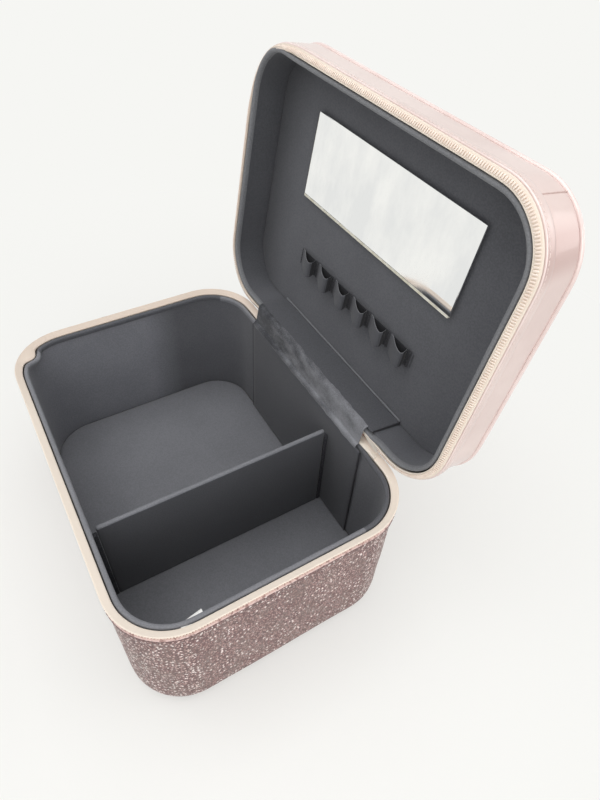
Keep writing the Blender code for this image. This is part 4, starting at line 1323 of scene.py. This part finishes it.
def metal_plate(name, centre, size, corner, steps):
    """A plate that stands in the rim's length, with rounded corners, its mesh left open."""
    made = box(name, centre, size)
    open_mesh(made)
    pick_edges_along(1)
    bpy.ops.mesh.bevel(offset=corner, segments=steps, affect="EDGES")
    return made


def slider(side, word):
    """One slider: two rounded plates, the gap that the tape runs through, and a bridge for the pull."""
    x = side * SLIDER_MIDDLE[0]
    y, z = SLIDER_MIDDLE[1:]
    plates = []
    for out, thickness in SLIDER_PLATES:
        size = (PLATE_LENGTH, thickness, PLATE_HEIGHT)
        plate = metal_plate("plate", (x, y + out, z), size, PLATE_CORNER, 5)
        pick("FACE", lambda face: face.normal.y > 0.9)
        inset(0.5 * MM, mm(0, 0.25, 0))
        leave_mesh()
        soften_edges(plate, 0.15 * MM, 40)
        plates.append(plate)
    neck = box("neck", (x, y + NECK_OUT, z), NECK_SIZE)
    made = merge_into("slider_body_" + word, [*plates, neck, bridge(x)])
    finish_off(made, "slider_" + word, "rose_metal", "metal", "zip_slider_" + word, angle=35)


def bridge(x):
    """The arch that carries the pull, drawn by carrying a round wire along it."""
    wire = begin(
        "bridge", bpy.ops.mesh.primitive_circle_add, vertices=12, radius=BRIDGE_RADIUS,
        location=(x - BRIDGE_HALF, BRIDGE_FOOT, SLIDER_MIDDLE[2]), rotation=(math.pi / 2, 0, 0),
    )
    open_mesh(wire)
    pick_all()
    top = BRIDGE_Y - BRIDGE_BEND
    inner_half = BRIDGE_HALF - BRIDGE_BEND
    extrude((0, top - BRIDGE_FOOT, 0))
    turn(x - inner_half, top, BRIDGE_STEPS)
    extrude((2 * inner_half, 0, 0))
    turn(x + inner_half, top, BRIDGE_STEPS)
    extrude((0, BRIDGE_FOOT - top, 0))
    close_up(capped=True)
    return wire


def pull(side, word):
    """The pull tab: a flat drop with a raised rim, hung from a ring on the bridge."""
    x = side * SLIDER_MIDDLE[0]
    z = SLIDER_MIDDLE[2]
    tab = metal_plate("tab", (x, BRIDGE_Y, z - TAB_BELOW), TAB_SIZE, TAB_CORNER, 6)
    for face_side in (-1, 1):
        pick("FACE", lambda face: face.normal.y * face_side > 0.9)
        for width, rise in ((0.7, 0), (0.2, -0.25), (0.9, 0.12)):
            inset(width * MM, mm(0, rise * face_side, 0))
    leave_mesh()
    soften_edges(tab, 0.15 * MM, 40)
    ring = begin(
        "ring", bpy.ops.mesh.primitive_torus_add, (1, 1, RING_STRETCH), major_segments=28,
        minor_segments=10, major_radius=RING_RADIUS, minor_radius=RING_WIRE,
        location=(x, BRIDGE_Y, z), rotation=(0, math.pi / 2, 0),
    )
    made = merge_into("pull_drop_" + word, [tab, ring])
    finish_off(made, "pull_" + word, "rose_metal", "metal", "pull_tab_" + word, angle=35)


# Camera, light and floor

CAMERA_PLACE = mm(238.979, -80.857, 385.639)
CAMERA_AROUND = math.radians(55.949)
CAMERA_UP = math.radians(46.719)
CAMERA_ROLL = math.radians(4.472)
FOCAL_PIXELS = 585.246
PICTURE_HEIGHT = 800
SENSOR = 36.0


def set_camera():
    """The camera of the photograph, fitted to the case's rims."""
    made = bpy.data.cameras.new("photo_camera")
    made.sensor_fit = "VERTICAL"
    made.sensor_height = SENSOR
    made.lens = FOCAL_PIXELS * SENSOR / PICTURE_HEIGHT
    made.clip_start = 0.01
    camera = bpy.data.objects.new("photo_camera", made)
    bpy.context.scene.collection.objects.link(camera)
    level = math.cos(CAMERA_UP)
    back = Vector((math.sin(CAMERA_AROUND) * level, -math.cos(CAMERA_AROUND) * level, math.sin(CAMERA_UP)))
    right = Vector((0, 0, 1)).cross(back).normalized()
    up = back.cross(right)
    turned_right = right * math.cos(CAMERA_ROLL) + up * math.sin(CAMERA_ROLL)
    turned_up = up * math.cos(CAMERA_ROLL) - right * math.sin(CAMERA_ROLL)
    matrix = camera.matrix_world.copy()
    for row in range(3):
        matrix[row] = (turned_right[row], turned_up[row], back[row], CAMERA_PLACE[row])
    camera.matrix_world = matrix
    bpy.context.scene.camera = camera


BACKDROP = (246, 246, 243)
WORLD_LIGHT = 0.46
FLOOR_SIZE = 6.0
FLOOR_BELOW = 0.02 * MM

# The floor fades into the backdrop between these distances, from this share on
FLOOR_FADE = (0.14, 0.5)
FLOOR_LEAST = 0.45

# Softboxes: each one's place, the height on the middle line that it faces, its size and its power
SOFTBOXES = {
    "ceiling": ((0.1, 0.0, 1.7), 0.1, (1.6, 1.6), 12.5),
    "window": ((-0.6, -0.9, 1.6), 0.1, (1.4, 1.4), 5),
    "side": ((1.3, -0.4, 0.75), 0.1, (1.0, 1.0), 7),
    "rear": ((0.8, 1.4, 0.65), 0.2, (0.9, 0.7), 3.0),
}


def set_softboxes():
    for name, (place, target, size, power) in SOFTBOXES.items():
        made = bpy.data.lights.new(name, "AREA")
        made.shape = "RECTANGLE"
        made.size, made.size_y = size
        made.energy = power
        lamp = bpy.data.objects.new(name, made)
        bpy.context.scene.collection.objects.link(lamp)
        lamp.location = place
        away = Vector((0, 0, target)) - Vector(place)
        lamp.rotation_euler = away.to_track_quat("-Z", "Y").to_euler()


def see_backdrop(nodes, shown, lit):
    """Shows one surface to the camera, metal and glass, and lights with the other."""
    path = nodes.add("LightPath", {}).outputs
    seen = path["Is Camera Ray"]
    for ray in ("Is Glossy Ray", "Is Transmission Ray"):
        seen = nodes.add("Math", {0: seen, 1: path[ray]}, operation="MAXIMUM").outputs[0]
    return nodes.add("MixShader", {0: seen, 1: lit, 2: shown}).outputs[0]


def set_world():
    world = bpy.data.worlds.new("studio")
    bpy.context.scene.world = world
    world.use_nodes = True
    world.node_tree.nodes.clear()
    nodes = Nodes(world.node_tree)
    shown = nodes.add("Background", {"Color": display(*BACKDROP)}).outputs[0]
    lit = nodes.add("Background", {"Color": (1, 1, 1, 1), "Strength": WORLD_LIGHT}).outputs[0]
    nodes.add("OutputWorld", {"Surface": see_backdrop(nodes, shown, lit)})


def set_floor():
    """A pale floor that keeps the case's shadow and runs out into the backdrop's colour."""
    made = begin(
        "studio_floor", bpy.ops.mesh.primitive_plane_add, size=FLOOR_SIZE, location=(0, 0, -FLOOR_BELOW)
    )
    finish = Finish("studio_floor", BACKDROP, 0.9, Specular_IOR_Level=0.1)
    lit = finish.shader.outputs[0]
    shown = finish.add("Emission", {"Color": display(*BACKDROP)}).outputs[0]
    place = finish.add("TexCoord", {}).outputs["Object"]
    reach = finish.add("VectorMath", {0: place}, operation="LENGTH").outputs["Value"]
    fade = finish.spread(reach, *FLOOR_FADE, FLOOR_LEAST, 1.0, "SMOOTHSTEP")
    faded = finish.add("MixShader", {0: fade, 1: lit, 2: see_backdrop(finish, shown, lit)}).outputs[0]
    finish.feed(finish.tree.nodes["Material Output"].inputs["Surface"], faded)
    made.data.materials.append(finish.material)


bpy.context.scene.view_settings.view_transform = "Standard"
set_camera()
set_world()
set_floor()
set_softboxes()

glitter_body()
hem(BASE, BASE_HEM, "rose_glitter_cloth", "glitter", "fold")
hem(LID, LID_HEM, "rose_smooth_cover", "side", "edging")
stitch_row(BASE, 4.4 * MM, 4.3 * MM, "rose_glitter_cloth", "rose_thread")
stitch_row(LID, 5.1 * MM, 4.6 * MM, "rose_smooth_cover", "pale_thread")
base_lining()
lid_lining()
zip_half(BASE, BASE_TAPE, "tape")
zip_half(LID, LID_TAPE, "lid_tape")
coil(LID, 2.5 * MM, 0.55 * MM, 29, 2.6 * MM)
coil(BASE, 3.75 * MM, -0.2 * MM, 34, 2.0 * MM)
piping()
lid_side()
side_seam()
lid_top()
floor_cloth()
rear_panel(BASE, BASE_LIP - FLOOR - 0.3 * MM, "panel")
rear_panel(LID, LID_BOARD - 0.3 * MM, "lid_panel")
lid_board_cloth()
panel_roll()
panel_seam(LID, LID_BOARD, 1, "right")
panel_seam(BASE, BASE_LIP - FLOOR, 1, "right")
panel_seam(BASE, BASE_LIP - FLOOR, -1, "left")
mirror()
brush_loops()
loop_stitches()
divider()
tape_end(BASE, "zip_tape_end", 2.5 * MM, -0.6 * MM, "zip_end_patch")
tape_end(LID, "lid_tape_end", 3.1 * MM, 1.1 * MM)
tag()
hinge_cloth()
hinge_cover()
for side, word in ((1, "right"), (-1, "left")):
    slider(side, word)
    pull(side, word)
for node in ("base_wall_board", "base_bottom_board", "lid_wall_board", "lid_top_board"):
    frame["nodes"][node].material_slots[0].material = finishes["board"]
frame["nodes"]["base_underside_cover"].material_slots[0].material = finishes["underside"]
